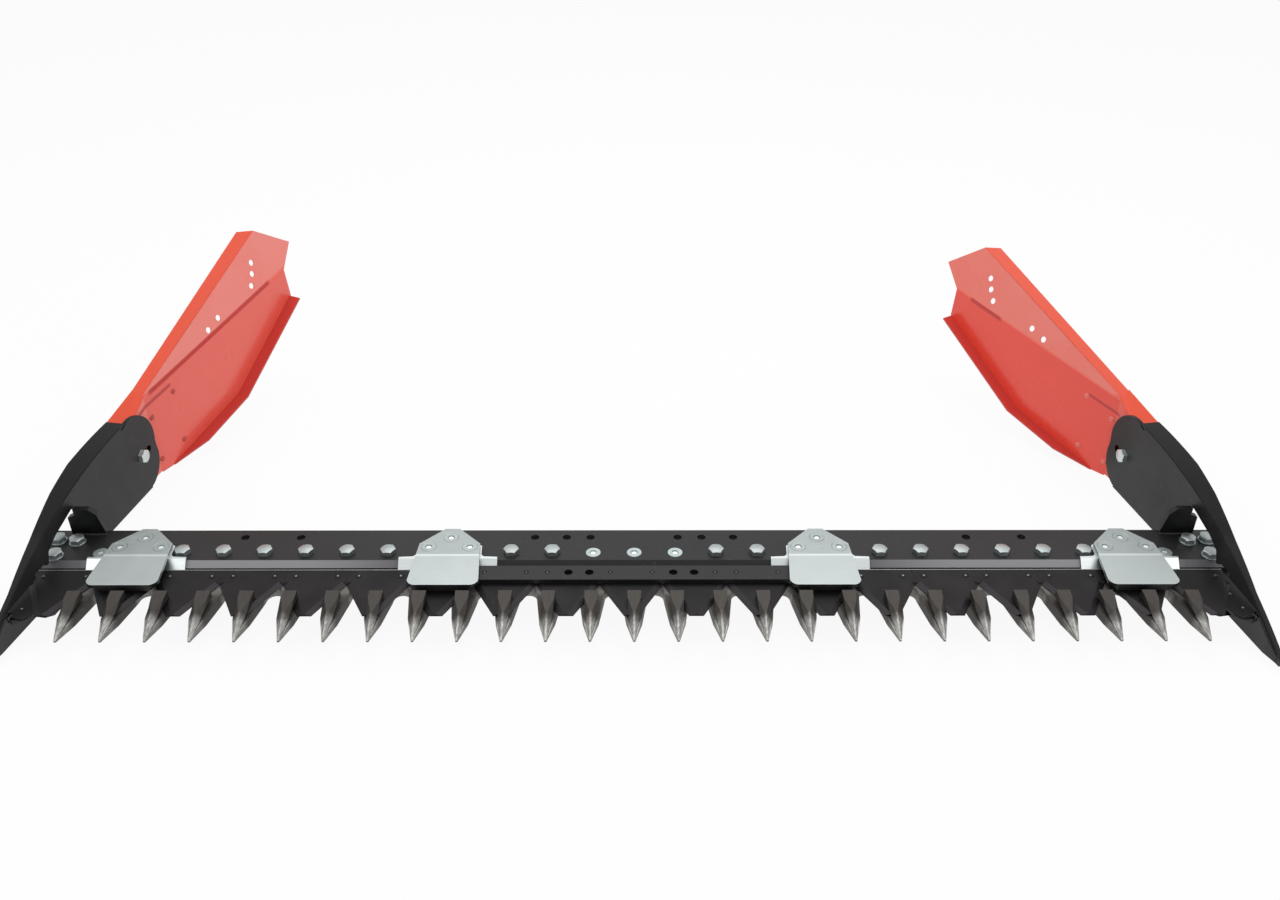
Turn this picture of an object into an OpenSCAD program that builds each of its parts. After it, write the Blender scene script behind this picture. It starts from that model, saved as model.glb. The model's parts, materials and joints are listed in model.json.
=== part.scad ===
// Sickle bar mower: a finger bar with a stroking knife, end shoes and swath boards.
// X runs along the bar, Y points backward (the fingers point to -Y) and Z is up.
// The origin lies on the bar's top face, midway between the drive bracket's holes.

/* [Finger bar] */
// Spacing of the fingers along the bar
finger_pitch = 50.8; // [49:0.1:53]
// Bar left over beyond the last finger at each end
bar_end_margin = 74.6; // [72:0.1:80]
// Width of the bar from its back edge to its front edge
bar_width = 68.5; // [66:0.5:74]
// Thickness of the bar
bar_t = 12; // [11:0.5:14]
// Height of the 45 degree bevel along the front edge
bar_bevel = 7; // [5:0.5:8]
// Distance from the back edge to the line of bracket holes
mount_hole_margin = 15; // [13:0.5:17]
// Diameter of the bracket holes
mount_hole_d = 10.5; // [8.5:0.5:11]
// Inner bracket holes, distance from the middle
mount_inner_x = 55; // [48:0.5:65]
// Middle bracket holes, distance from the middle
mount_middle_x = 85; // [78:0.5:95]
// Outer bracket holes, distance from the middle
mount_outer_x = 125; // [110:0.5:140]
// Inner stay holes, distance from the middle
stay_inner_x = 420; // [400:1:440]
// Outer stay holes, distance from the middle
stay_outer_x = 490; // [470:1:510]

/* [Fasteners] */
// Diameter of the bolts and screws
bolt_d = 10; // [9:0.5:11]
// Width across the flats of bolt heads and nuts
hex_af = 17; // [16:0.5:17]
// Height of a hexagon head
hex_head_h = 6.4; // [5:0.2:7]
// Height of a nut
nut_h = 8; // [6:0.5:9]
// Diameter of a countersunk head
flat_head_d = 19; // [17:0.5:20]
// Distance from the bar's back edge to the finger bolts
finger_bolt_margin = 46; // [44:0.5:47]

/* [Fingers] */
// Thickness of the finger base under the bar
finger_base_t = 12; // [10:0.5:14]
// Length of the base behind the bolt
finger_heel = 17; // [14:0.5:19]
// Length of the solid nose in front of the slot
finger_nose = 33; // [28:0.5:40]
// Radius of the arch between two fingers
arch_r = 10; // [8:0.5:12]
// Width of the prong where its slot ends
prong_w = 18.5; // [17:0.5:21]
// Width of the lip at its square rear end
lip_w = 16.5; // [14:0.5:17]
// Width of the lip where the nose begins
lip_front_w = 13; // [10:0.5:14]
// Height of the lip's rear end over the bar's top
lip_rise = 5; // [3:0.5:7]
// How far the lip reaches back over the sections
lip_overlap = 31.7; // [26:0.1:33]

/* [Knife] */
// Depth of the sections' top below the bar's top
knife_drop = 5; // [4.5:0.1:5.5]
// Thickness of a section
section_t = 3; // [2.5:0.1:3.5]
// Length of a section from its rear edge to its tip
section_len = 83.7; // [80:0.1:88]
// Width of a section's blunt tip
section_tip_w = 17; // [14:0.5:20]
// Length of a section's straight shoulder
section_shoulder = 27; // [24:0.5:30]
// Width of the ground bevel along a cutting edge
edge_bevel_w = 7; // [5:0.5:8]
// Width of the knife back
knife_back_w = 22; // [20:0.5:24]
// Thickness of the knife back
knife_back_t = 5; // [4:0.5:6]
// Distance from the knife's rear edge to its rivets
rivet_margin = 13; // [12:0.5:14]
// Diameter of the rivets
rivet_d = 6; // [5:0.5:7]
// Width of the head bar that takes the drive
head_bar_w = 27; // [25:0.5:28]
// Thickness of the head bar
head_bar_t = 6; // [5:0.5:6.5]
// Length of the head bar
head_bar_len = 444; // [430:1:460]
// Diameter of the drive holes
drive_hole_d = 10.5; // [8.5:0.5:11]
// Where the knife stands, from mid-stroke
knife_offset = -3.5; // [-6:0.5:6]

/* [Knife holders] */
// Thickness of the guide plate
guide_t = 4; // [3:0.5:5]
// Thickness of the guide's front wall behind the knife
guide_wall = 5.1; // [4.5:0.1:6]
// Width of the guide over its front tabs
guide_w = 121; // [115:1:126]
// Thickness of the holder plate
holder_t = 5; // [4.5:0.5:6]
// Width of the holder at its front edge
holder_w = 85; // [80:1:90]
// Distance from the finger bolts to the holder's front edge
holder_reach = 72; // [68:0.5:76]
// Distance from the finger bolts to the holder's rear edge
holder_tail = 37; // [33:0.5:40]
// Distance from the finger bolts to the holder's third screw
third_screw = 19; // [17:0.5:22]
// Radius of the holder's front corners
holder_corner_r = 10; // [6:0.5:12]

/* [Shoes] */
// Distance from the last finger to the shoe's web
shoe_offset = 49; // [47:0.5:51]
// Angle of the shoe's web, turned in at the rear
shoe_toe = 10; // [8:0.5:11]
// Thickness of the shoe's web
web_t = 6; // [5:0.5:7]
// Depth of the web's lower edge below the bar's top
shoe_drop = 40; // [38:0.5:46]
// Length of the rear lobe behind the pivot bolt
lobe_reach = 38; // [34:0.5:46]
// Height of the web over the bar's top at the rear
shoe_rise = 77; // [74:0.5:84]
// Height of the web over the bar's top at the finger bolts
shoe_mid_rise = 46.5; // [44:0.5:50]
// Length of the nose in front of the knife
shoe_nose = 50; // [45:1:58]
// Width of the flange at the rear
flange_w = 23; // [20:0.5:26]
// Thickness of the flange
flange_t = 5; // [4:0.5:6]
// Height of the web's leg over the knife
leg_h = 18; // [16:0.5:20]
// Upper radius of the rear lobe
lobe_top_r = 45; // [40:1:50]
// Lower radius of the rear lobe
lobe_low_r = 40; // [34:1:42]
// Thickness of the pad under the bar
pad_t = 12; // [10:0.5:14]
// Depth of the sole below the web's lower edge
sole_drop = 6; // [5:0.5:8]
// Thickness of the ledger plate in the shoe
ledger_t = 4; // [3:0.5:5]

/* [Swath boards] */
// Thickness of the board's sheet
sheet_t = 2.5; // [2:0.25:3]
// Thickness of the bracket behind the board
bracket_t = 4; // [3:0.5:5]
// Distance from the finger bolts to the pivot bolt
pivot_reach = 200; // [196:0.5:204]
// Height of the pivot bolt over the bar's top
pivot_rise = 16; // [12:0.5:20]
// Left board's angle, turned in at the rear
left_toe = 26; // [22:0.5:34]
// Right board's angle, turned in at the rear
right_toe = 34; // [26:0.5:36]
// Left board's pitch about its pivot bolt
left_pitch = 0; // [-4:0.5:4]
// Right board's pitch about its pivot bolt
right_pitch = -4.5; // [-5:0.5:4]
// Length of the board's diagonal fold
fold_len = 315; // [300:1:325]
// Lean of the upper facet beyond the fold
facet_lean = 20; // [12:1:28]
// Width of the board's top flange
top_flange_w = 25; // [20:0.5:30]
// Width of the board's lower flange
low_flange_w = 20; // [14:0.5:22]

/* [Clearances] */
// Gap between running flat faces
slide_gap = 0.3; // [0.2:0.05:0.4]
// Gap over the sections, under lips and holder toes
hold_gap = 0.5; // [0.4:0.05:0.8]
// Radial gap of a bolt in its clearance hole
hole_gap = 0.3; // [0.25:0.05:0.5]
// Radial gap of a running or threaded fit
fit_gap = 0.05; // [0.02:0.01:0.08]

/* [Hidden] */
$fn = 64;
eps = 0.01;

// Colours as they show
BLACK_PAINT = "#3a383a";
RED_PAINT = "#e0483a";
ZINC = "#b4baba";
BLADE = "#383638";
CAST_STEEL = "#6b6864";

// Layout along the bar, counted in finger pitches
FINGERS = 13;
DOUBLES = [-13, -11, -9, -7, -5, -3, -1, 1, 4, 6, 8, 10, 12];
SINGLE = 3;
HEX_BOLTS = [-11, -10, -9, -8, -7, -6, -3, -2, 2, 3, 6, 7, 8, 9, 10, 11];
FLUSH_SCREWS = [-13, -12, -1, 0, 1, 12, 13];
HOLDERS = [-12, -4.5, 4.5, 12];
SECTIONS = 19;
SIDES = [-1, 1];

// Lines across the bar
bar_back_y = mount_hole_margin;
bar_front_y = bar_back_y - bar_width;
bolt_y = bar_back_y - finger_bolt_margin;
bar_half = FINGERS * finger_pitch + bar_end_margin;
guide_front_y = bar_front_y - guide_wall;
knife_rear_y = guide_front_y - 0.4;
rivet_y = knife_rear_y - rivet_margin;
back_front_y = knife_rear_y - knife_back_w;
channel_front_y = back_front_y - hold_gap;
tip_room = 3.3;
section_tip_y = knife_rear_y - section_len;
slot_end_y = section_tip_y - tip_room;
finger_tip_y = slot_end_y - finger_nose;
lip_rear_y = section_tip_y + lip_overlap;
ledge_w = 4.9;
arch_y = channel_front_y - ledge_w - arch_r;

// Levels, from the bar's top
section_top = -knife_drop;
section_low = section_top - section_t;
knife_low = section_low - knife_back_t;
ledger_z = section_low - slide_gap;
channel_z = knife_low - slide_gap;
finger_low = -bar_t - finger_base_t;
lip_low = section_top + hold_gap;
shoe_low = -shoe_drop;
ground_z = shoe_low - sole_drop;
head_bar_top = section_top + head_bar_t;

// The finger's tip
tip_half_w = 1.2;
tip_top_z = lip_low - 8.5;
tip_low_z = tip_top_z - 2.5;
lip_front_z = lip_rise - 4;
belly_y = arch_y - 4;

// The knife
section_pitch = 1.5 * finger_pitch;
section_gap = 0.2;
rivet_half = finger_pitch / 2;
DRIVE_X = [-section_pitch, -finger_pitch, finger_pitch, section_pitch];
knife_half = SECTIONS * section_pitch / 2 - 2;

// Fasteners
hex_r = hex_af / sqrt(3);
flat_head_h = (flat_head_d - bolt_d) / 2;
socket_af = 7;
socket_depth = 4;
washer_t = 2;
washer_d = 20;
thread_end = 2;

// The holder: its front part dips until it just clears the head bar
holder_bend = bolt_y - bar_front_y - bar_bevel + guide_t * tan(22.5) + hold_gap;
holder_dip = atan((guide_t - head_bar_top - 1) / (holder_reach - holder_bend));
holder_top = guide_t + holder_t;
toe_rear_y = back_front_y - 7.5;
toe_len = 12;
screw_rim = 2.6;
toe_w = 64;

// The shoe's web, in its own plane: y from the finger bolts, z from the bar's top
shoe_x = FINGERS * finger_pitch + shoe_offset;
toe_cos = cos(shoe_toe);
shoe_rear = pivot_reach + lobe_reach;
knife_end_y = (section_tip_y - bolt_y - 3) / toe_cos;
nose_y = knife_end_y - shoe_nose;
arc_end_y = shoe_rear - 67;
flange_end_y = shoe_rear - 56;
window_y = finger_bolt_margin / toe_cos + 0.6;
bar_front_s = (bar_front_y - bolt_y) / toe_cos;
lug_t = 8;
lug_run = 34;
lug_rise = 38;
slot_len = 18;
nose_t = 4;
ARC = arc_through([nose_y, shoe_low + 6], [0, shoe_mid_rise], [arc_end_y, shoe_rise]);
pad_in_x = FINGERS * finger_pitch + finger_pitch / 2 + 1;
pad_out_x = bar_half - 2;
SHOE_BOLTS = [[36, 20.6], [60.5, 23], [52.5, -8.4]];
ledger_in = 30;
ledger_out = 6;
ledger_screw_d = 6;
LEDGER_SCREWS = [-13, 13];

// The board, in its panel's plane: y behind the bend, z from the pivot bolt
board_gap = 0.2;
bend_y = lobe_reach + 4;
fold_z = 62;
fold_rise = 13.1;
low_z = -56;
LOW_FOLD = [
    [0.08 * fold_len, low_z],
    [0.535 * fold_len, low_z + 0.133 * fold_len],
    [fold_len - 1, low_z + 0.463 * fold_len]
];
low_flange_taper = 56;
FACET_TAIL = [39.5, 27.5];
FACET_TOP = [-5, 76];
facet_front = 6;
tab_front_y = -24;
tab_front_z = 32.5;
tab_top_rise = 27.3;
tab_flange_y = 20;
tab_flange_w = 39.5;
FACET_HOLES = [[-40, 42], [-50, 28.7], [-63, 16], [-142, 14.6], [-167, 10.8]];
facet_hole_d = 9;
BOARD_RIVETS = [[7, 32], [7, -36], [52, 51], [52, -28]];
board_rivet_d = 5;
board_rivet_head_d = 9;
board_rivet_head_h = 1.5;

// Helpers

function two_digits(n) = n < 10 ? str("0", n) : str(n);

// Centre and radius of the circle through three points
function arc_through(a, b, c) =
    let (
        d = 2 * (a[0] * (b[1] - c[1]) + b[0] * (c[1] - a[1]) + c[0] * (a[1] - b[1])),
        sa = a * a,
        sb = b * b,
        sc = c * c,
        x = (sa * (b[1] - c[1]) + sb * (c[1] - a[1]) + sc * (a[1] - b[1])) / d,
        y = (sa * (c[0] - b[0]) + sb * (a[0] - c[0]) + sc * (b[0] - a[0])) / d
    )
    [x, y, norm([a[0] - x, a[1] - y])];

// Height of the web's top arc at y
function arc_z(y) = ARC[1] + sqrt(ARC[2] * ARC[2] - (y - ARC[0]) * (y - ARC[0]));

// Extrudes an outline drawn in Y and Z along X, centred on X = 0
module along_x(length) {
    rotate([90, 0, 90]) linear_extrude(height = length, center = true) children();
}

// Extrudes an outline drawn in Y and Z from X = 0 outward
module outward(length) {
    rotate([90, 0, 90]) linear_extrude(height = length) children();
}

// A vertical bore down from the top of what it cuts
module bore(x, y, d, top, low) {
    translate([x, y, low - 1]) cylinder(h = top - low + 2, d = d);
}

module hex_nut(d) {
    difference() {
        cylinder(h = nut_h, r = hex_r, $fn = 6);
        translate([0, 0, -1]) cylinder(h = nut_h + 2, d = d + 2 * fit_gap);
    }
}

// A hexagon bolt with its head on Z = 0 and its shank pointing down
module hex_bolt(length) {
    cylinder(h = hex_head_h, r = hex_r, $fn = 6);
    translate([0, 0, -length]) cylinder(h = length + eps, d = bolt_d);
}

// A countersunk socket screw flush with Z = 0
module flat_screw(length, d = bolt_d, head_d = flat_head_d, af = socket_af, depth = socket_depth) {
    difference() {
        union() {
            translate([0, 0, -(head_d - d) / 2]) cylinder(h = (head_d - d) / 2, d1 = d, d2 = head_d);
            translate([0, 0, -length]) cylinder(h = length, d = d);
        }
        translate([0, 0, -depth]) cylinder(h = depth + 1, r = af / sqrt(3), $fn = 6);
    }
}

// The seat of a countersunk screw in the face at Z = 0, with its clearance
module flat_seat(x, y, top, d = bolt_d, head_d = flat_head_d) {
    head_h = (head_d - d) / 2;
    translate([x, y, top - head_h - hole_gap]) cylinder(h = head_h, d1 = d, d2 = head_d);
    translate([x, y, top - hole_gap - eps]) cylinder(h = hole_gap + 1, d = head_d);
}

// Finger bar

function side_screws(h) = [for (s = SIDES) [h * finger_pitch + s * finger_pitch / 2, bolt_y]];
function rear_screw(h) = [h * finger_pitch, bolt_y + third_screw];
function clamps_fingers(h) = abs(h) < 10;

module finger_bar() {
    color(BLACK_PAINT) {
        difference() {
            along_x(2 * bar_half) polygon([
                [bar_back_y, 0],
                [bar_front_y + bar_bevel, 0],
                [bar_front_y, -bar_bevel],
                [bar_front_y, -bar_t],
                [bar_back_y, -bar_t]
            ]);
            for (s = SIDES, x = [mount_inner_x, mount_middle_x, mount_outer_x, stay_inner_x, stay_outer_x])
                bore(s * x, 0, mount_hole_d, 0, -bar_t);
            for (i = HEX_BOLTS) bore(i * finger_pitch, bolt_y, bolt_d + 2 * hole_gap, 0, -bar_t);
            for (i = FLUSH_SCREWS) {
                bore(i * finger_pitch, bolt_y, bolt_d + 2 * hole_gap, 0, -bar_t);
                flat_seat(i * finger_pitch, bolt_y, 0);
            }
            for (h = HOLDERS) {
                side_gap = clamps_fingers(h) ? hole_gap : fit_gap;
                for (p = side_screws(h)) bore(p[0], p[1], bolt_d + 2 * side_gap, 0, -bar_t);
                bore(rear_screw(h)[0], rear_screw(h)[1], bolt_d + 2 * fit_gap, 0, -bar_t);
            }
            for (s = SIDES, b = SHOE_BOLTS)
                bore(s * (FINGERS * finger_pitch + b[0]), bolt_y + b[1], bolt_d + 2 * hole_gap, 0, -bar_t);
        }
        for (s = SIDES) bar_lug(s);
    }
}

// An upright gusset welded on the bar's rear edge, in the window of the shoe's web
module bar_lug(side) {
    web_in_x = shoe_x - finger_bolt_margin * tan(shoe_toe);
    out_x = web_in_x + web_t / toe_cos + 2.5;
    in_x = web_in_x - lug_run;
    face_x = web_in_x - 0.5;
    mirror([side < 0 ? 1 : 0, 0, 0]) translate([0, bar_back_y - 0.5, 0]) rotate([90, 0, 0])
        linear_extrude(height = lug_t) polygon([
            [in_x, -2],
            [out_x, -2],
            [out_x, lug_rise - 12],
            [face_x, lug_rise - 8],
            [face_x, lug_rise],
            [in_x + 15, lug_rise],
            [in_x + 6, lug_rise - 8],
            [in_x, 5]
        ]);
}

// Fingers: a base under the bar and a slotted prong that the knife runs through

module finger_side() {
    polygon([
        [bolt_y + finger_heel, -bar_t],
        [bar_front_y - hold_gap, -bar_t],
        [bar_front_y - hold_gap, channel_z],
        [channel_front_y, channel_z],
        [channel_front_y, ledger_z],
        [slot_end_y, ledger_z],
        [finger_tip_y, tip_top_z],
        [finger_tip_y, tip_low_z],
        [belly_y, finger_low],
        [bolt_y + finger_heel, finger_low]
    ]);
}

module lip_side() {
    polygon([
        [lip_rear_y, lip_rise],
        [lip_rear_y, lip_low],
        [slot_end_y, lip_low],
        [slot_end_y, ledger_z - 1],
        [finger_tip_y, tip_low_z + 1],
        [finger_tip_y, tip_top_z],
        [slot_end_y, lip_front_z]
    ]);
}

// A prong's outline from above, between its root and its tip
module prong_plan(root_w, root_y, front_w) {
    polygon([
        [-root_w / 2, root_y],
        [-front_w / 2, slot_end_y],
        [-tip_half_w, finger_tip_y],
        [tip_half_w, finger_tip_y],
        [front_w / 2, slot_end_y],
        [root_w / 2, root_y]
    ]);
}

// The two ground faces of the nose, which meet on a ridge
module nose_roof() {
    slope = atan((lip_front_z - tip_top_z) / finger_nose);
    reach = lip_overlap + 3 * finger_nose;
    translate([0, finger_tip_y, tip_top_z + tip_half_w]) rotate([90 + slope, 0, 0])
        translate([0, 0, -reach]) linear_extrude(height = reach + finger_nose)
            polygon([[0, 0], [2 * lip_w, -2 * lip_w], [-2 * lip_w, -2 * lip_w]]);
}

// A casting of one or two fingers, from its first finger's number
module finger_casting(first, count) {
    root_w = finger_pitch - 2 * arch_r;
    joint_gap = slide_gap;
    color(CAST_STEEL) translate([first * finger_pitch, 0, 0]) difference() {
        union() {
            intersection() {
                translate([(count - 1) * finger_pitch / 2, 0, 0]) along_x(count * finger_pitch - joint_gap)
                    finger_side();
                translate([0, 0, finger_low - 1]) linear_extrude(height = finger_base_t + bar_t + 2) {
                    difference() {
                        translate([-finger_pitch / 2, arch_y])
                            square([count * finger_pitch, bolt_y + finger_heel - arch_y]);
                        for (n = [0:count]) translate([(n - 0.5) * finger_pitch, arch_y])
                            circle(r = arch_r);
                    }
                    for (n = [0:count - 1]) translate([n * finger_pitch, 0])
                        prong_plan(root_w, arch_y + eps, prong_w);
                }
            }
            for (n = [0:count - 1]) translate([n * finger_pitch, 0, 0]) intersection() {
                along_x(2 * lip_w) lip_side();
                translate([0, 0, finger_low]) linear_extrude(height = 2 * bar_width)
                    prong_plan(lip_w, lip_rear_y, lip_front_w);
                nose_roof();
            }
        }
        for (n = [0:count - 1]) bore(n * finger_pitch, bolt_y, bolt_d + 2 * hole_gap, -bar_t, finger_low);
    }
}

module finger_bolts() {
    grip = bar_t + finger_base_t;
    color(ZINC) for (i = HEX_BOLTS) translate([i * finger_pitch, bolt_y, 0]) {
        hex_bolt(grip + nut_h + thread_end);
        translate([0, 0, -grip - nut_h]) hex_nut(bolt_d);
    }
}

module flush_screws() {
    grip = bar_t + finger_base_t;
    color(ZINC) for (i = FLUSH_SCREWS) translate([i * finger_pitch, bolt_y, 0]) {
        flat_screw(grip + nut_h + thread_end);
        translate([0, 0, -grip - nut_h]) hex_nut(bolt_d);
    }
}

// Knife holders: a guide plate behind the knife and a clip plate over it

module knife_guide(n) {
    shoulder_w = 2 * (finger_pitch - hex_r - hold_gap);
    tail_y = bolt_y + third_screw + 12;
    crest_y = bar_front_y + bar_bevel - guide_t * tan(22.5);
    color(ZINC) translate([HOLDERS[n] * finger_pitch, 0, 0]) difference() {
        intersection() {
            along_x(guide_w) polygon([
                [tail_y, 0],
                [bar_front_y + bar_bevel, 0],
                [bar_front_y, -bar_bevel],
                [bar_front_y, -bar_t + hold_gap],
                [guide_front_y, -bar_t + hold_gap],
                [guide_front_y, guide_t - (crest_y - guide_front_y)],
                [crest_y, guide_t],
                [tail_y, guide_t]
            ]);
            translate([0, 0, -bar_t]) linear_extrude(height = bar_t + 2 * guide_t) polygon([
                [-guide_w / 2, guide_front_y - 1],
                [-guide_w / 2, bar_front_y + bar_bevel + 1.5],
                [-shoulder_w / 2 - 3, bar_front_y + bar_bevel + 2.5],
                [-shoulder_w / 2, bar_front_y + bar_bevel + 6],
                [-shoulder_w / 2 + 1, bolt_y + 8],
                [-10, tail_y],
                [10, tail_y],
                [shoulder_w / 2 - 1, bolt_y + 8],
                [shoulder_w / 2, bar_front_y + bar_bevel + 6],
                [shoulder_w / 2 + 3, bar_front_y + bar_bevel + 2.5],
                [guide_w / 2, bar_front_y + bar_bevel + 1.5],
                [guide_w / 2, guide_front_y - 1]
            ]);
        }
        for (s = SIDES) bore(s * finger_pitch / 2, bolt_y, bolt_d + 2 * hole_gap, guide_t, 0);
        bore(0, bolt_y + third_screw, bolt_d + 2 * hole_gap, guide_t, 0);
    }
}

// The clip plate's side view: flat on the guide, then dipping to the front
module holder_side() {
    bend_y = bolt_y - holder_bend;
    front_y = bolt_y - holder_reach;
    tail_y = bolt_y + holder_tail;
    drop = (bend_y - front_y) * tan(holder_dip);
    polygon([
        [tail_y + 1, guide_t],
        [bend_y, guide_t],
        [front_y - 1, guide_t - drop],
        [front_y - 1, holder_top - drop],
        [bend_y, holder_top],
        [tail_y + 1, holder_top]
    ]);
}

// The clip plate's outline from above
module holder_plan() {
    bend_y = bolt_y - holder_bend;
    front_y = bolt_y - holder_reach;
    screw_half = finger_pitch / 2 + flat_head_d / 2 + screw_rim;
    polygon([
        [-9, bolt_y + holder_tail],
        [-screw_half, bolt_y + 6.5],
        [-screw_half - 1.5, bend_y],
        [-holder_w / 2, front_y + holder_corner_r],
        [-holder_w / 2 + holder_corner_r, front_y],
        [holder_w / 2 - holder_corner_r, front_y],
        [holder_w / 2, front_y + holder_corner_r],
        [screw_half + 1.5, bend_y],
        [screw_half, bolt_y + 6.5],
        [9, bolt_y + holder_tail]
    ]);
    for (s = SIDES) translate([s * (holder_w / 2 - holder_corner_r), front_y + holder_corner_r])
        circle(r = holder_corner_r);
}

module knife_holder(n) {
    color(ZINC) translate([HOLDERS[n] * finger_pitch, 0, 0]) {
        difference() {
            intersection() {
                along_x(2 * holder_w) holder_side();
                translate([0, 0, -bar_t]) linear_extrude(height = 3 * bar_t) holder_plan();
            }
            for (s = SIDES) {
                bore(s * finger_pitch / 2, bolt_y, bolt_d + 2 * hole_gap, holder_top, guide_t);
                flat_seat(s * finger_pitch / 2, bolt_y, holder_top);
            }
            bore(0, bolt_y + third_screw, bolt_d + 2 * hole_gap, holder_top, guide_t);
            flat_seat(0, bolt_y + third_screw, holder_top);
        }
        translate([-toe_w / 2, toe_rear_y - toe_len, lip_low])
            cube([toe_w, toe_len, head_bar_top + 2 - lip_low]);
    }
}

module holder_screws() {
    grip = holder_top + bar_t + finger_base_t;
    color(ZINC) for (h = HOLDERS) {
        for (p = side_screws(h)) translate([p[0], p[1], holder_top]) {
            if (clamps_fingers(h)) {
                flat_screw(grip + nut_h + thread_end);
                translate([0, 0, -grip - nut_h]) hex_nut(bolt_d);
            } else {
                flat_screw(holder_top + bar_t - hold_gap);
            }
        }
        translate([rear_screw(h)[0], rear_screw(h)[1], holder_top])
            flat_screw(holder_top + bar_t - hold_gap);
    }
}

// Knife: the back, nineteen riveted sections and the head bar that takes the drive

function section_x(n) = (n - (SECTIONS - 1) / 2) * section_pitch;
function is_drive(x) = min([for (d = DRIVE_X) abs(x - d)]) < 1;
function under_head(x) = abs(x) < head_bar_len / 2;
RIVETS_X = [
    for (n = [0:SECTIONS - 1], s = SIDES)
        let (x = section_x(n) + s * rivet_half)
            if (!is_drive(x)) x
];

// Everything on the knife is drawn about mid-stroke and then moved to where it stands
module on_knife() {
    translate([knife_offset, 0, 0]) children();
}

module knife_bores() {
    for (x = RIVETS_X) bore(x, rivet_y, rivet_d + 2 * fit_gap, head_bar_top, knife_low);
    for (x = DRIVE_X) bore(x, rivet_y, drive_hole_d, head_bar_top, knife_low);
}

module knife_back() {
    color(BLADE) on_knife() difference() {
        translate([-knife_half, back_front_y, knife_low])
            cube([2 * knife_half, knife_back_w, knife_back_t]);
        knife_bores();
    }
}

module knife_section(n) {
    half_w = section_pitch / 2 - section_gap / 2;
    flank_y = knife_rear_y - section_shoulder;
    flank = [half_w - section_tip_w / 2, flank_y - section_tip_y];
    flank_angle = atan(flank[0] / flank[1]);
    edge_t = 0.6;
    color(BLADE) on_knife() difference() {
        translate([section_x(n), 0, section_low]) difference() {
            linear_extrude(height = section_t) polygon([
                [-half_w, knife_rear_y],
                [-half_w, flank_y],
                [-section_tip_w / 2, section_tip_y],
                [section_tip_w / 2, section_tip_y],
                [half_w, flank_y],
                [half_w, knife_rear_y]
            ]);
            for (s = [0, 1]) mirror([s, 0, 0]) translate([half_w, flank_y, 0]) rotate([0, 0, -flank_angle])
                translate([0, 1, 0]) rotate([90, 0, 0]) linear_extrude(height = norm(flank) + 4) polygon([
                    [0.5, edge_t],
                    [0, edge_t],
                    [-edge_bevel_w, section_t],
                    [-edge_bevel_w, section_t + 1],
                    [0.5, section_t + 1]
                ]);
        }
        for (s = SIDES) {
            x = section_x(n) + s * rivet_half;
            d = is_drive(x) ? drive_hole_d : rivet_d + 2 * fit_gap;
            bore(x, rivet_y, d, section_top, section_low);
        }
        if (is_drive(section_x(n))) bore(section_x(n), rivet_y, drive_hole_d, section_top, section_low);
    }
}

module knife_head_bar() {
    nose_r = 6;
    rear_y = knife_rear_y;
    front_y = rear_y - head_bar_w;
    color(BLACK_PAINT) on_knife() difference() {
        translate([0, 0, section_top]) linear_extrude(height = head_bar_t) {
            translate([-head_bar_len / 2 + nose_r, front_y])
                square([head_bar_len - 2 * nose_r, head_bar_w]);
            translate([-head_bar_len / 2, front_y + nose_r])
                square([head_bar_len, head_bar_w - 2 * nose_r]);
            for (sx = SIDES, y = [front_y + nose_r, rear_y - nose_r])
                translate([sx * (head_bar_len / 2 - nose_r), y]) circle(r = nose_r);
        }
        knife_bores();
    }
}

module knife_rivets() {
    head_h = 0.9;
    color(ZINC) on_knife() for (x = RIVETS_X) translate([x, rivet_y, knife_low]) {
        if (under_head(x)) {
            cylinder(h = head_bar_top - knife_low, d = rivet_d);
        } else {
            cylinder(h = section_top - knife_low + eps, d = rivet_d);
            translate([0, 0, section_top - knife_low])
                cylinder(h = head_h, d1 = rivet_d + 3, d2 = rivet_d);
        }
    }
}

// Shoes: a nose, a leg arched over the bar's end and a rear lobe, with a sole on the ground

// Puts a right-hand shape at its end of the bar: x outward from the web, y along it
module at_shoe(side) {
    mirror([side < 0 ? 1 : 0, 0, 0]) translate([shoe_x, bolt_y, 0]) rotate([0, 0, shoe_toe]) children();
}

// Puts a right-hand shape at its end of the bar, square to the bar
module at_bar_end(side) {
    mirror([side < 0 ? 1 : 0, 0, 0]) translate([FINGERS * finger_pitch, bolt_y, 0]) children();
}

module web_outline() {
    lobe_top_y = shoe_rear - lobe_top_r;
    lobe_top_z = shoe_rise - lobe_top_r;
    lobe_low_y = shoe_rear - lobe_low_r;
    lobe_low_z = shoe_low + lobe_low_r + 1;
    lap = 10;
    intersection() {
        top_circle(0);
        translate([nose_y, shoe_low]) square([arc_end_y - nose_y, shoe_drop + shoe_rise + lap]);
    }
    translate([arc_end_y - lap, shoe_low])
        square([lobe_low_y + 8 - arc_end_y + lap, lobe_low_z - shoe_low]);
    translate([arc_end_y - lap, shoe_low + lap])
        square([lobe_top_y - arc_end_y + lap, shoe_drop + shoe_rise - lap - 4]);
    translate([lobe_top_y - lap, lobe_low_z - lap])
        square([lobe_top_r + lap - 1.5, lobe_top_z - lobe_low_z + lap]);
    translate([lobe_top_y, lobe_top_z]) circle(r = lobe_top_r);
    translate([lobe_low_y, lobe_low_z]) circle(r = lobe_low_r);
}

// The big circle that the shoe's top edge follows
module top_circle(rise) {
    translate([ARC[0], ARC[1]]) circle(r = ARC[2] + rise, $fn = 360);
}

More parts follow.
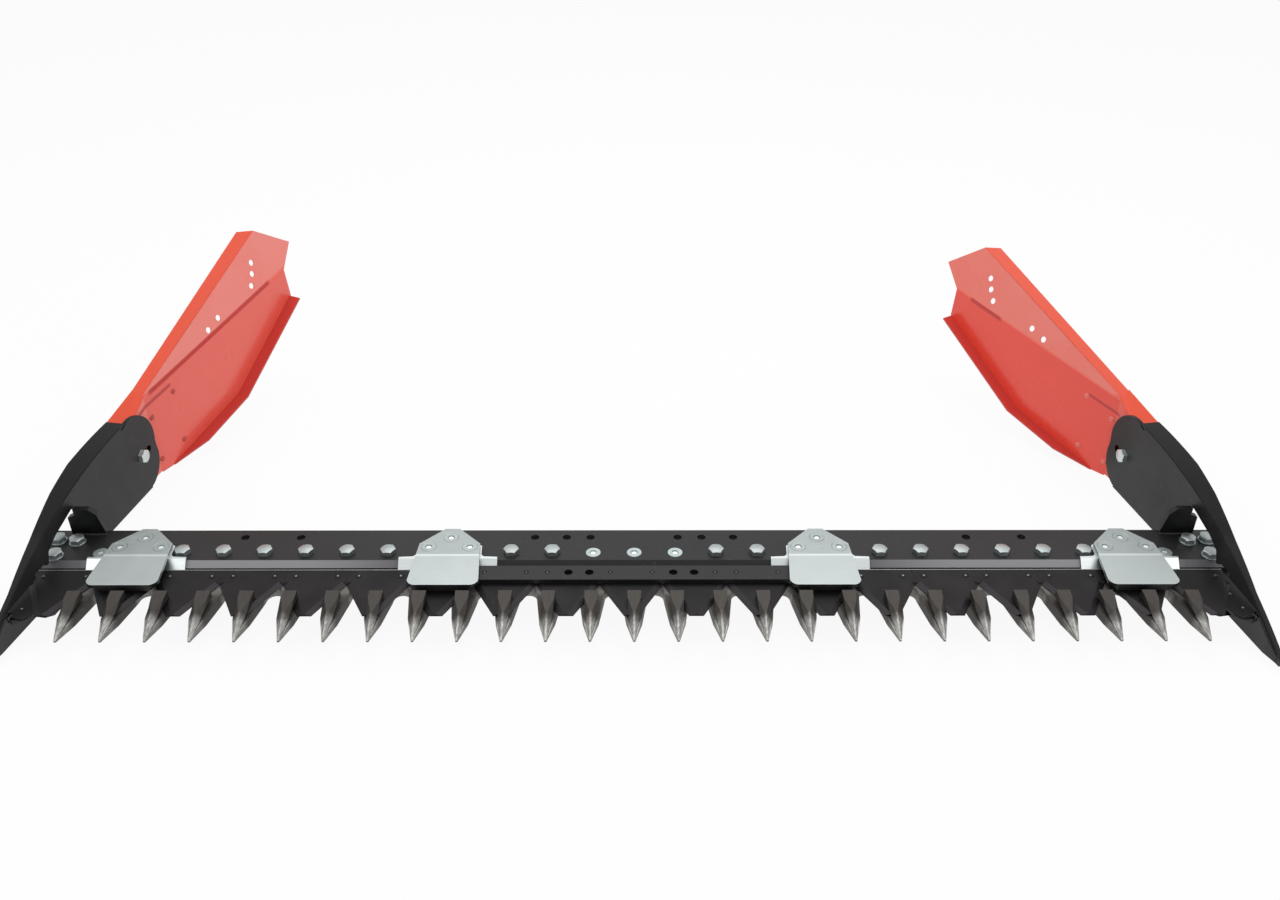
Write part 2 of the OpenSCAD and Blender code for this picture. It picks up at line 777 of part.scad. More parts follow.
// What the bar's end and the knife pass through: open from the window to the slot's front end
module arch_outline() {
    window_top = arc_z(window_y) - leg_h - 2;
    ledger_floor = ledger_z - ledger_t - 0.4;
    bar_floor = -bar_t - 0.5;
    polygon([
        [window_y, bar_floor],
        [window_y, window_top - 8],
        [window_y - 4, window_top],
        [0, arc_z(0) - leg_h - 2],
        [bar_front_s + 4, arc_z(bar_front_s + 4) - leg_h - 6],
        [bar_front_s - 1.5, hold_gap + 1.5],
        [knife_end_y, section_top + hold_gap],
        [knife_end_y, ledger_floor],
        [bar_front_s, ledger_floor],
        [bar_front_s, bar_floor]
    ]);
}

// The flange's outline from above: full width at the rear, drawn in towards the nose
module flange_plan() {
    polygon([
        [1, nose_y + 3],
        [web_t + 0.5, nose_y + 3],
        [web_t + 0.5, 0.81 * knife_end_y],
        [web_t + 0.33 * flange_w, 0.25 * knife_end_y],
        [web_t + 0.8 * flange_w, 0.17 * shoe_rear],
        [web_t + flange_w, 0.38 * shoe_rear],
        [web_t + 0.9 * flange_w, flange_end_y],
        [1, flange_end_y]
    ]);
}

module shoe(side) {
    color(BLACK_PAINT) difference() {
        union() {
            at_shoe(side) {
                outward(web_t) difference() {
                    web_outline();
                    arch_outline();
                }
                intersection() {
                    outward(2 * flange_w) difference() {
                        top_circle(0.5);
                        top_circle(0.5 - flange_t);
                        translate([knife_end_y - 0.3, shoe_low])
                            square([section_len, shoe_drop + section_top + hold_gap + 0.3]);
                    }
                    translate([0, 0, shoe_low + 2]) linear_extrude(height = 2 * shoe_rise) flange_plan();
                }
                nose_side();
                ledger_shelf();
                shoe_sole();
            }
            at_bar_end(side)
                translate([pad_in_x - FINGERS * finger_pitch, bar_front_y - bolt_y + 1, -bar_t - pad_t])
                    cube([pad_out_x - pad_in_x, bar_width - 3, pad_t]);
        }
        at_bar_end(side) {
            for (b = SHOE_BOLTS) bore(b[0], b[1], bolt_d + 2 * fit_gap, -bar_t, -bar_t - pad_t);
            translate([-finger_pitch, back_front_y - bolt_y - hold_gap, channel_z - slide_gap])
                cube([4 * finger_pitch, knife_back_w + 1, -section_low + bar_t]);
        }
        at_shoe(side) {
            for (y = [pivot_reach, pivot_reach + slot_len]) web_bore(y, pivot_rise, bolt_d + 2 * hole_gap);
            translate([-nose_t, pivot_reach, pivot_rise - bolt_d / 2 - hole_gap])
                cube([web_t + 2 * nose_t, slot_len, bolt_d + 2 * hole_gap]);
            for (y = LEDGER_SCREWS) bore(-8, ledger_mid_y + y, ledger_screw_d + 2 * fit_gap, 0, shoe_low);
        }
    }
}

// A bore square to the web
module web_bore(y, z, d) {
    translate([-2 * nose_t, y, z]) rotate([0, 90, 0]) cylinder(h = web_t + 4 * nose_t, d = d);
}

ledger_mid_y = (knife_end_y + (back_front_y - bolt_y) / toe_cos) / 2;

// The nose is thicker than the web, from the ground up to the ledger's shelf and the slot's end
module nose_side() {
    rear_y = bar_front_s - 0.7;
    intersection() {
        translate([-nose_t, 0, 0]) outward(nose_t + 1) difference() {
            intersection() {
                top_circle(-1.5);
                translate([nose_y + 6, shoe_low + 0.5])
                    square([rear_y - nose_y - 6, shoe_drop + shoe_rise]);
            }
            translate([knife_end_y - 2, ledger_z - ledger_t - 0.8])
                square([rear_y - knife_end_y + 5, 2 * shoe_rise]);
        }
        translate([0, 0, shoe_low - 1]) linear_extrude(height = shoe_drop + shoe_rise) polygon([
            [1.5, nose_y],
            [1.5, rear_y + 1],
            [-nose_t - 1, rear_y + 1],
            [-nose_t - 1, nose_y + 30],
            [0.5, nose_y]
        ]);
    }
}

// The sole that slides on the ground, turned up at both ends
module shoe_sole() {
    rise = 3;
    translate([-18, 0, 0]) outward(18 + flange_w) polygon([
        [-78, shoe_low + rise],
        [-62, ground_z],
        [62, ground_z],
        [70, shoe_low + rise]
    ]);
}

// The shelf that carries the ledger plate
module ledger_shelf() {
    shelf_t = 6;
    rear_y = bar_front_s - 1.4;
    translate([0, 0, ledger_z - ledger_t - shelf_t]) linear_extrude(height = shelf_t) polygon([
        [web_t - 1, knife_end_y + 2],
        [-nose_t - 1, knife_end_y + 2],
        [-ledger_in + 10, knife_end_y + 18],
        [-ledger_in + 10, rear_y],
        [web_t - 1, rear_y]
    ]);
}

module shoe_ledgers() {
    tip_r = 7;
    rear_y = (channel_front_y - bolt_y) / toe_cos - 5;
    front_y = knife_end_y + 3;
    color(BLADE) for (s = SIDES) at_shoe(s) difference() {
        translate([0, 0, ledger_z - ledger_t]) linear_extrude(height = ledger_t) {
            polygon([
                [web_t + ledger_out, rear_y],
                [-ledger_in, rear_y],
                [-ledger_in + 8, front_y + tip_r],
                [-nose_t - tip_r, front_y],
                [-nose_t, front_y],
                [-nose_t, front_y + tip_r],
                [web_t + ledger_out, front_y + tip_r]
            ]);
            translate([-ledger_in + 8 + tip_r, front_y + tip_r]) circle(r = tip_r);
        }
        for (y = LEDGER_SCREWS) {
            bore(-8, ledger_mid_y + y, ledger_screw_d + 2 * hole_gap, 0, shoe_low);
            flat_seat(-8, ledger_mid_y + y, ledger_z, ledger_screw_d, ledger_screw_d + 4);
        }
    }
}

module shoe_bolts() {
    color(ZINC) for (s = SIDES) {
        at_bar_end(s) for (b = SHOE_BOLTS) translate([b[0], b[1], 0]) {
            difference() {
                cylinder(h = washer_t, d = washer_d);
                translate([0, 0, -1]) cylinder(h = washer_t + 2, d = bolt_d + 2 * hole_gap);
            }
            translate([0, 0, washer_t]) hex_bolt(washer_t + bar_t + pad_t);
        }
        at_shoe(s) for (y = LEDGER_SCREWS) translate([-8, ledger_mid_y + y, ledger_z])
            flat_screw(ledger_t + 6, ledger_screw_d, ledger_screw_d + 4, 3, 1.6);
    }
}

// Swath boards: folded sheets that turn on the pivot bolts

stack_t = board_gap + sheet_t + bracket_t + board_gap;

module pivot_bolt(side) {
    color(ZINC) at_shoe(side) translate([0, pivot_reach, pivot_rise]) rotate([0, -90, 0]) {
        hex_bolt(web_t + stack_t + washer_t + nut_h + thread_end);
        translate([0, 0, -web_t - stack_t - washer_t]) difference() {
            cylinder(h = washer_t, d = washer_d);
            translate([0, 0, -1]) cylinder(h = washer_t + 2, d = bolt_d + 2 * fit_gap);
        }
        translate([0, 0, -web_t - stack_t - washer_t - nut_h]) hex_nut(bolt_d);
    }
}

// The board's own frame: x outward from the sheet's inner face, y behind the pivot bolt
module at_board(side) {
    at_shoe(side) translate([web_t + board_gap, pivot_reach, pivot_rise])
        rotate([side < 0 ? left_pitch : right_pitch, 0, 0]) children();
}

function board_bend(side) = (side < 0 ? left_toe : right_toe) - shoe_toe;

// The frame of a layer's panel behind its bend, at the middle of the layer's thickness
module at_panel(side, depth) {
    translate([depth, bend_y + (depth - sheet_t / 2) * tan(board_bend(side) / 2), 0])
        rotate([0, 0, board_bend(side)]) children();
}

// A layer of sheet, drawn in Y and Z about the middle of its thickness
module layer(t) {
    rotate([90, 0, 90]) linear_extrude(height = t, center = true) children();
}

// An upright strip that is bent once, from its inner face at depth and t thick
module bent_strip(side, depth, t) {
    half = board_bend(side) / 2;
    run = 1.5 * fold_len * [-sin(2 * half), cos(2 * half)];
    inner = [depth, bend_y + (depth - sheet_t / 2) * tan(half)];
    outer = [depth + t, bend_y + (depth + t - sheet_t / 2) * tan(half)];
    translate([0, 0, -fold_len / 2]) linear_extrude(height = 1.6 * fold_len)
        polygon([[depth, -40], [depth + t, -40], outer, outer + run, inner + run, inner]);
}

// Cuts a bent strip to one outline in front of its bend and another behind it
module bent_sheet(side, depth, t) {
    thick = 120;
    intersection() {
        bent_strip(side, depth, t);
        union() {
            translate([-thick / 2, 0, 0]) outward(thick) children(0);
            at_panel(side, sheet_t / 2) translate([-thick / 2, 0, 0]) outward(thick) children(1);
        }
    }
}

// Where the outline behind the bend begins, and how far the one in front laps over it
panel_start = 3;
bend_lap = 6;

module tab_outline() {
    rear_y = bend_y + bend_lap;
    polygon([
        [tab_front_y, -38],
        [tab_front_y, tab_front_z],
        [rear_y, tab_front_z + (rear_y - tab_front_y) * tan(tab_top_rise)],
        [rear_y, low_z + 2],
        [0, low_z + 2]
    ]);
}

module panel_outline() {
    fold_end = (fold_len + 1.5) * [cos(fold_rise), sin(fold_rise)] + [0, fold_z];
    polygon(concat(
        [[panel_start, low_z]],
        LOW_FOLD,
        [fold_end, [panel_start, fold_z + panel_start * tan(fold_rise)]]
    ));
}

// The lower flange, turned inward along the panel's lower fold and drawn in at its front end
module low_flange() {
    run_1 = LOW_FOLD[1] - LOW_FOLD[0];
    run_2 = LOW_FOLD[2] - LOW_FOLD[1];
    along_fold(LOW_FOLD[0], run_1) polygon([
        [0.3, -0.5],
        [0.3, norm(run_1) + 1.1],
        [-low_flange_w, norm(run_1) + 1.1],
        [-low_flange_w, low_flange_taper],
        [-2, -0.5]
    ]);
    along_fold(LOW_FOLD[1], run_2) polygon([
        [0.4, -0.3],
        [0.4, norm(run_2) - 2],
        [-low_flange_w - 0.2, norm(run_2) - 2],
        [-low_flange_w - 0.2, -0.3]
    ]);
}

// A sheet drawn from above, laid along a fold of the panel
module along_fold(start, run) {
    translate([0, start[0], start[1]]) rotate([atan2(run[1], run[0]), 0, 0])
        translate([0, 0, -0.5]) linear_extrude(height = sheet_t) children();
}

module swath_board(side) {
    color(RED_PAINT) at_board(side) difference() {
        union() {
            bent_sheet(side, 0, sheet_t) {
                tab_outline();
                panel_outline();
            }
            tab_flange(side);
            at_panel(side, sheet_t / 2) {
                low_flange();
                translate([0, 0, fold_z]) rotate([fold_rise, 0, 0]) {
                    rotate([0, facet_lean, 0]) board_facet();
                    top_flange();
                }
            }
        }
        translate([-1, 0, 0]) rotate([0, 90, 0]) cylinder(h = 2 * sheet_t, d = bolt_d + 2 * fit_gap);
        at_panel(side, sheet_t / 2) rivet_bores();
    }
}

// The upper facet, drawn from the front end of the diagonal fold
module board_facet() {
    difference() {
        layer(sheet_t) polygon([
            [2, -0.6],
            [fold_len, -0.6],
            [fold_len, 0] + FACET_TAIL,
            [fold_len, 0] + FACET_TOP,
            [2, facet_front]
        ]);
        for (p = FACET_HOLES) translate([-sheet_t, fold_len + p[0], p[1]]) rotate([0, 90, 0])
            cylinder(h = 2 * sheet_t, d = facet_hole_d);
    }
}

// The top flange, level across the board, along the facet's upper edge
module top_flange() {
    front = [facet_front * sin(facet_lean), 2, facet_front * cos(facet_lean)];
    rear = [FACET_TOP[1] * sin(facet_lean), fold_len + FACET_TOP[0], FACET_TOP[1] * cos(facet_lean)];
    run = [rear[1] - front[1], rear[2] - front[2]];
    translate([0, front[1], front[2]]) rotate([atan2(run[1], run[0]), 0, 0])
        translate([0, 0, 0.5 - sheet_t]) linear_extrude(height = sheet_t) polygon([
            [front[0] - 0.3, 0],
            [rear[0] - 0.3, norm(run)],
            [rear[0] + top_flange_w, norm(run) - 9],
            [front[0] + 0.8 * top_flange_w, 0]
        ]);
}

// The stretch of the top flange in front of the bend: its outer edge goes on in line
module tab_flange(side) {
    width = 0.88 * top_flange_w;
    turn = board_bend(side);
    length = (bend_y - tab_front_y) / cos(tab_top_rise);
    end_x = width * cos(turn) - 2 * sin(turn);
    end_y = length + (width * sin(turn) + 2 * cos(turn)) / cos(tab_top_rise);
    translate([0, tab_front_y, tab_front_z]) rotate([tab_top_rise, 0, 0])
        translate([0, 0, 0.5 - sheet_t]) linear_extrude(height = sheet_t) polygon([
            [0.4, tab_flange_y],
            [0.4, length + 1],
            [end_x - 0.2, end_y + 1],
            [tab_flange_w, tab_flange_y]
        ]);
}

module rivet_bores() {
    for (p = BOARD_RIVETS) translate([-3 * bracket_t, p[0], p[1]]) rotate([0, 90, 0])
        cylinder(h = 6 * bracket_t, d = board_rivet_d + 2 * fit_gap);
}

module board_bracket(side) {
    color(RED_PAINT) at_board(side) difference() {
        bent_sheet(side, sheet_t, bracket_t) {
            polygon([
                [-22, -30],
                [-22, 24],
                [0, 43],
                [bend_y + bend_lap, 43],
                [bend_y + bend_lap, -44],
                [0, -44]
            ]);
            polygon([[panel_start, -46], [62, -38], [66, 58], [54, 60], [panel_start, 45]]);
        }
        translate([-1, 0, 0]) rotate([0, 90, 0]) cylinder(h = 4 * bracket_t, d = bolt_d + 2 * fit_gap);
        at_panel(side, sheet_t / 2) rivet_bores();
    }
}

module board_rivets(side) {
    grip = sheet_t + bracket_t;
    color(RED_PAINT) at_board(side) at_panel(side, sheet_t / 2) for (p = BOARD_RIVETS)
        translate([-sheet_t / 2, p[0], p[1]]) rotate([0, 90, 0]) {
            cylinder(h = grip, d = board_rivet_d);
            translate([0, 0, -board_rivet_head_h])
                cylinder(h = board_rivet_head_h, d1 = board_rivet_d, d2 = board_rivet_head_d);
            translate([0, 0, grip])
                cylinder(h = board_rivet_head_h, d1 = board_rivet_head_d, d2 = board_rivet_d);
        }
}

finger_bar();
finger_casting(SINGLE, 1);  // single_finger
finger_bolts();
flush_screws();
for (n = [1:len(DOUBLES)])
    finger_casting(DOUBLES[n - 1], 2);
for (n = [1:len(HOLDERS)]) {
    knife_guide(n - 1);
    knife_holder(n - 1);
}
holder_screws();
knife_back();
knife_rivets();
knife_head_bar();
for (n = [1:SECTIONS])
    knife_section(n - 1);
shoe(-1);  // left_shoe
shoe(1);  // right_shoe
shoe_ledgers();
shoe_bolts();
pivot_bolt(-1);  // left_pivot_bolt
pivot_bolt(1);  // right_pivot_bolt
swath_board(-1);  // left_swath_board
swath_board(1);  // right_swath_board
board_bracket(-1);  // left_board_bracket
board_bracket(1);  // right_board_bracket
board_rivets(-1);  // left_board_rivets
board_rivets(1);  // right_board_rivets
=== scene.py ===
# %% [markdown]
# # A sickle bar mower, dressed in Blender
# The bar is an attachment: a long steel bar with pointed fingers, a toothed knife that strokes through
# their slots, a runner at each end and a folded red board behind each runner. The solids already have the
# right shapes and places, so this lesson rounds their edges, turns the fasteners, lays the welds and gives
# every surface its finish.

# %% Load the solids as a fixed frame
import json
import math

import bpy
from mathutils import Matrix, Vector

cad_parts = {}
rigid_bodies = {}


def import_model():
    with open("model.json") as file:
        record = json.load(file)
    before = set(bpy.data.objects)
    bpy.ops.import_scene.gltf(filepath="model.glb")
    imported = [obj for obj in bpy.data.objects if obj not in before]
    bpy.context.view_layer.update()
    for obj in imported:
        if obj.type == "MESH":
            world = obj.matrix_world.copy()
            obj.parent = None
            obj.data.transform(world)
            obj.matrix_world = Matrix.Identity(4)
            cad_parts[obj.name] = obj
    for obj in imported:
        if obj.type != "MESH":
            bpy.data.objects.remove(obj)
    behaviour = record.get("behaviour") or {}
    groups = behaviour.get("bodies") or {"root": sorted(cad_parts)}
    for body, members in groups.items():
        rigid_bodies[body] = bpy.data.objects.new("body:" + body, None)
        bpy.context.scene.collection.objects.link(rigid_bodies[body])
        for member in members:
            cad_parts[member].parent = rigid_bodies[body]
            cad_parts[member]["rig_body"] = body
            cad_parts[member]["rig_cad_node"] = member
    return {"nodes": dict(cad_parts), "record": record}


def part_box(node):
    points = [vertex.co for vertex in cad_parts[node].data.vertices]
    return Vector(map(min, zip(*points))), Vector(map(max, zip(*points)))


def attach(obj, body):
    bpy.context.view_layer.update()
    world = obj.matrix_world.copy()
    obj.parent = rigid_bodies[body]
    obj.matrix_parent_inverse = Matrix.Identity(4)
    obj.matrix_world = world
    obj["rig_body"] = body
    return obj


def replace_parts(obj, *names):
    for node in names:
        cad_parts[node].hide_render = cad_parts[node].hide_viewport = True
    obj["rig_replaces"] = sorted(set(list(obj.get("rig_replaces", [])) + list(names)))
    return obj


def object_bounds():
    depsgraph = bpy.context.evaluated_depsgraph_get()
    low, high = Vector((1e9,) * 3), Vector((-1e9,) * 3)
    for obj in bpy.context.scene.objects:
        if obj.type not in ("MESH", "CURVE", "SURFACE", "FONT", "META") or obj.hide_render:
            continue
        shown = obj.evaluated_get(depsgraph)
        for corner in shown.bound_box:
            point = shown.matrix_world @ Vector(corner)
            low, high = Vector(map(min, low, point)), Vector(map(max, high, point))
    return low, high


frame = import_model()
nodes = frame["nodes"]
cad_box = [list(corner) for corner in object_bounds()]
print("solids:", len(nodes), "box", [[round(v, 4) for v in corner] for corner in cad_box])

# %% [markdown]
# ## The camera
# The photograph looks down on the bar from the front, from a little under a metre above the ground. A
# camera can be aimed by eye or worked out from points whose places are known. Here the pose was worked out
# from the finger tips and the boards' corners, so it is written down as a place, three angles and a lens.

# %% Place the camera
CAMERA_AT = Vector((-0.0014, -1.1999, 0.8940))
PITCH, YAW, ROLL = (math.radians(a) for a in (32.463, 0.403, 0.198))
SENSOR_MM, LENS_MM = 36, 33.213
ahead = Vector((math.sin(YAW) * math.cos(PITCH), math.cos(YAW) * math.cos(PITCH), -math.sin(PITCH)))
level = Vector((math.cos(YAW), -math.sin(YAW), 0))
upward = level.cross(ahead)
right = math.cos(ROLL) * level + math.sin(ROLL) * upward
up = math.cos(ROLL) * upward - math.sin(ROLL) * level
bpy.ops.object.select_all(action="DESELECT")
bpy.ops.object.camera_add(location=CAMERA_AT)
camera = bpy.context.object
camera.rotation_euler = Matrix((right, up, -ahead)).transposed().to_euler()
camera.data.sensor_width = SENSOR_MM
camera.data.lens = LENS_MM
bpy.context.scene.camera = camera
print("camera at", tuple(round(v, 3) for v in camera.location), "lens", LENS_MM)

# %% [markdown]
# ## Nodes and colours
# Every finish below is a small network of nodes. One helper adds a node, sets it up and links it, and one
# turns a colour as it is seen on a screen into the linear numbers that light is reckoned in. A pattern's
# scale is worked out from the size of its grain in millimetres.

# %% Helpers for the finishes
SOFTLY = {"interpolation_type": "SMOOTHSTEP"}
COLOURS = {"data_type": "RGBA"}


def linear(hex_colour):
    parts = [int(hex_colour[k:k + 2], 16) / 255 for k in (1, 3, 5)]
    return [c / 12.92 if c <= 0.04045 else ((c + 0.055) / 1.055) ** 2.4 for c in parts] + [1.0]


def add(tree, kind, inputs, **settings):
    node = tree.nodes.new("ShaderNode" + kind)
    for name, value in settings.items():
        setattr(node, name, value)
    for name, value in inputs.items():
        if isinstance(value, bpy.types.NodeSocket):
            tree.links.new(value, node.inputs[name])
        else:
            node.inputs[name].default_value = value
    return node


def new_finish(name):
    material = bpy.data.materials.new(name)
    material.use_nodes = True
    tree = material.node_tree
    tree.nodes.clear()
    where = add(tree, "TexCoord", {})
    return material, tree, where.outputs["Object"], where.outputs["Normal"]


def per_metre(grain_mm):
    return 1000 / grain_mm


print("a middle grey of #808080 is", round(linear("#808080")[0], 3), "in linear light")

# %% [markdown]
# ## Studio
# The object stands on white paper under soft light from above and a little behind, so shadows fall softly
# to the front. The paper and the air around it are white to the camera and in reflections, but light the
# object gently.

# %% White air
AIR_LIGHT = 0.55
bpy.context.scene.view_settings.view_transform = "Standard"
world = bpy.data.worlds.new("studio_air")
bpy.context.scene.world = world
world.use_nodes = True
air = world.node_tree
air.nodes.clear()
path = add(air, "LightPath", {})
seen = add(air, "Math", {0: path.outputs["Is Camera Ray"], 1: path.outputs["Is Glossy Ray"]},
           operation="MAXIMUM")
seen = add(air, "Math", {0: seen.outputs[0], 1: path.outputs["Is Transmission Ray"]}, operation="MAXIMUM")
soft = add(air, "Background", {"Color": linear("#ffffff"), "Strength": AIR_LIGHT})
white = add(air, "Background", {"Color": linear("#ffffff"), "Strength": 1.0})
both = add(air, "MixShader", {0: seen.outputs[0], 1: soft.outputs[0], 2: white.outputs[0]})
add(air, "OutputWorld", {"Surface": both.outputs[0]})
print("air lights at", AIR_LIGHT)

# %% [markdown]
# ## Paper and lamps
# The paper is matt, so that it takes the object's soft shadow. Paper lit to full white would need strong
# lamps, which would bleach the object too, so most of its white is a glow that only the camera and
# reflections see. Three square lamps stand for a studio's softboxes: a large one above and behind, and a
# small one at each front corner.

# %% White paper and soft light
PAPER_SIZE, PAPER_DROP, PAPER_GLOW = 9, 0.0002, 0.92
bpy.ops.object.select_all(action="DESELECT")
bpy.ops.mesh.primitive_plane_add(size=PAPER_SIZE, location=(0, 0, cad_box[0][2] - PAPER_DROP))
paper = bpy.context.object
paper.name = "paper"
finish, tree, *_ = new_finish("white_paper")
path = add(tree, "LightPath", {})
seen = add(tree, "Math", {0: path.outputs["Is Camera Ray"], 1: path.outputs["Is Glossy Ray"]},
           operation="MAXIMUM")
share = add(tree, "Math", {0: seen.outputs[0], 1: PAPER_GLOW}, operation="MULTIPLY")
matt = add(tree, "BsdfDiffuse", {"Color": linear("#f6f6f6")})
glow = add(tree, "Emission", {"Color": linear("#ffffff"), "Strength": 1.0})
both = add(tree, "MixShader", {0: share.outputs[0], 1: matt.outputs[0], 2: glow.outputs[0]})
add(tree, "OutputMaterial", {"Surface": both.outputs[0]})
paper.data.materials.append(finish)


def softbox(name, place, size, watts):
    bpy.ops.object.light_add(type="AREA", location=place)
    lamp = bpy.context.object
    lamp.name = name
    lamp.data.shape = "SQUARE"
    lamp.data.size = size
    lamp.data.energy = watts
    lamp.rotation_euler = (-Vector(place)).to_track_quat("-Z", "Y").to_euler()


softbox("key_softbox", (0.15, 0.8, 2.2), 2.4, 26)
softbox("left_softbox", (-2.0, -1.2, 1.8), 1.3, 9)
softbox("right_softbox", (2.0, -1.2, 1.8), 1.3, 9)
print("studio ready, floor at", round(cad_box[0][2], 4))

# %% [markdown]
# ## Black enamel
# The bar, its head bar and the shoes are rolled steel under satin black enamel. It could be one flat black,
# but the real coat is a little cloudy, dusty on top and dimpled like orange peel, and it takes a soft white
# sheen. The bar and the shoes each also get their own painted light and shade, told by place.

# %% Where light and shade are painted on the black enamel
BEVEL_FACING = (0, -0.7071, 0.7071)
SHINE_FROM, SHINE_FULL, END_FROM, END_FULL = 0.16, 0.42, 0.65, 0.68
GUSSET_SHADE_FROM, GUSSET_SHADE_FULL = 0.001, 0.004
LIGHTER_FROM, LIGHTER_FULL = -0.045, -0.065


def bar_painted_light(tree, place, facing, colour):
    # the bevel along the front edge is painted bright grey as a reflection, less so at the middle and the
    # ends
    lean = add(tree, "VectorMath", {0: facing, 1: BEVEL_FACING}, operation="DOT_PRODUCT")
    on_bevel = add(tree, "MapRange", {0: lean.outputs["Value"], 1: 0.985, 2: 0.997})
    out = add(tree, "Math", {0: place.outputs["X"]}, operation="ABSOLUTE")
    side = add(tree, "MapRange", {0: out.outputs[0], 1: SHINE_FROM, 2: SHINE_FULL}, **SOFTLY)
    ends = add(tree, "MapRange", {0: out.outputs[0], 1: END_FROM, 2: END_FULL, 3: 1.0, 4: 0.35})
    along = add(tree, "Math", {0: side.outputs[0], 1: ends.outputs[0]}, operation="MULTIPLY")
    painted_shine = add(tree, "Math", {0: on_bevel.outputs[0], 1: along.outputs[0]}, operation="MULTIPLY")
    colour = add(tree, "Mix", {0: painted_shine.outputs[0], 6: colour.outputs[2], 7: linear("#969599")}, **COLOURS)
    # the gussets at the ends stand in the shoes' shade, which is painted on as a darker black
    gusset_shade = add(tree, "MapRange", {0: place.outputs["Z"], 1: GUSSET_SHADE_FROM, 2: GUSSET_SHADE_FULL})
    return add(tree, "Mix", {0: gusset_shade.outputs[0], 6: colour.outputs[2], 7: linear("#0b0b0c")}, **COLOURS)


def shoe_painted_light(tree, place, facing, colour):
    # in front of the bar the shoe is painted a lighter grey-black, light painted over its shade
    painted_lighter = add(tree, "MapRange", {0: place.outputs["Y"], 1: LIGHTER_FROM, 2: LIGHTER_FULL, 3: 0.0, 4: 0.8})
    return add(tree, "Mix", {0: painted_lighter.outputs[0], 6: colour.outputs[2], 7: linear("#2b2a2b")}, **COLOURS)


print("bevel shine painted from x", SHINE_FROM, "shoes painted lighter from y", LIGHTER_FROM)

# %% [markdown]
# ## The black coat
# Enamel is a hard paint that is sprayed and baked. Its colour drifts a little from place to place, dust
# settles on it, and its dimples blur what it reflects. Three sizes of noise give that, and each enamel then
# takes the painted light and shade of its own piece.

# %% Satin black enamel
CLOUD_MM, PEEL_MM, DUST_MM = 55, 2.5, 6


def black_enamel(name, dark, cloudy, dust, sheen, painted_light):
    finish, tree, spot, facing = new_finish(name)
    place = add(tree, "SeparateXYZ", {0: spot})
    cloud = add(tree, "TexNoise", {"Vector": spot, "Scale": per_metre(CLOUD_MM), "Detail": 5.0})
    peel = add(tree, "TexNoise", {"Vector": spot, "Scale": per_metre(PEEL_MM), "Detail": 2.0})
    speck = add(tree, "TexNoise", {"Vector": spot, "Scale": per_metre(DUST_MM), "Detail": 6.0})
    coat = add(tree, "Mix", {0: cloud.outputs["Fac"], 6: linear(dark), 7: linear(cloudy)}, **COLOURS)
    dusty = add(tree, "MapRange", {0: speck.outputs["Fac"], 1: 0.62, 2: 0.78, 3: 0.0, 4: 0.5})
    colour = add(tree, "Mix", {0: dusty.outputs[0], 6: coat.outputs[2], 7: linear(dust)}, **COLOURS)
    # the piece's own painted light and shade, told by place
    colour = painted_light(tree, place, facing, colour)
    gloss = add(tree, "MapRange", {0: cloud.outputs["Fac"], 1: 0.3, 2: 0.7, 3: 0.34, 4: 0.48})
    bump = add(tree, "Bump", {"Strength": 0.06, "Distance": 0.0004, "Height": peel.outputs["Fac"]})
    shader = add(tree, "BsdfPrincipled", {
        "Base Color": colour.outputs[2], "Roughness": gloss.outputs[0], "Specular IOR Level": sheen,
        "Normal": bump.outputs["Normal"]})
    add(tree, "OutputMaterial", {"Surface": shader.outputs[0]})
    return finish


# a soft sheen on the bar, a little more on the shoes' sides, and hardly any on the flanges, as painted shade
bar_enamel = black_enamel("satin_black_enamel", "#171617", "#201f20", "#454341", 0.28, bar_painted_light)
shoe_enamel = black_enamel("shoe_black_enamel", "#131213", "#1e1d1e", "#4a4744", 0.32, shoe_painted_light)
shaded_flange_enamel = black_enamel("shaded_black_enamel", "#181819", "#202021", "#383634", 0.1, shoe_painted_light)
print("enamels:", bar_enamel.name, shoe_enamel.name, shaded_flange_enamel.name)

# %% [markdown]
# ## Rubbed edges
# Where paint is thin on an edge it wears first and shows steel. The rounded edges made further down get
# their own finish, so the wear follows the real edges and needs no trick. The boards' rivets are painted
# over and get the same kind of finish, in a darker red on the left as painted shade and a paler red on the
# right as painted highlights.

# %% Enamel worn thin on the edges
WORN_MM, WORN_FROM, WORN_FULL = 18, 0.62, 0.70


def worn_edge(name, paint, steel):
    finish, tree, spot, _ = new_finish(name)
    patch = add(tree, "TexNoise", {"Vector": spot, "Scale": per_metre(WORN_MM), "Detail": 7.0})
    bare = add(tree, "MapRange", {0: patch.outputs["Fac"], 1: WORN_FROM, 2: WORN_FULL})
    colour = add(tree, "Mix", {0: bare.outputs[0], 6: linear(paint), 7: linear(steel)}, **COLOURS)
    gloss = add(tree, "MapRange", {0: patch.outputs["Fac"], 1: 0.3, 2: 0.7, 3: 0.4, 4: 0.3})
    shader = add(tree, "BsdfPrincipled", {
        "Base Color": colour.outputs[2], "Metallic": bare.outputs[0], "Roughness": gloss.outputs[0],
        "Specular IOR Level": 0.35})
    add(tree, "OutputMaterial", {"Surface": shader.outputs[0]})
    return finish


# thin patches of steel along an edge, which break the line of light that a new edge would have
black_edge = worn_edge("black_enamel_edge", "#1a191a", "#4a4846")
red_edge = worn_edge("red_enamel_edge", "#d8442f", "#a8604f")
# the left rivets are painted darker as shade, the right ones paler as highlights
rivet_lit_and_shaded = {"left": worn_edge("shaded_red_rivet", "#c24d43", "#b0443b"),
             "right": worn_edge("highlit_red_rivet", "#ee7f73", "#f09286")}
print("edges:", black_edge.name, red_edge.name, "rivets:", len(rivet_lit_and_shaded))
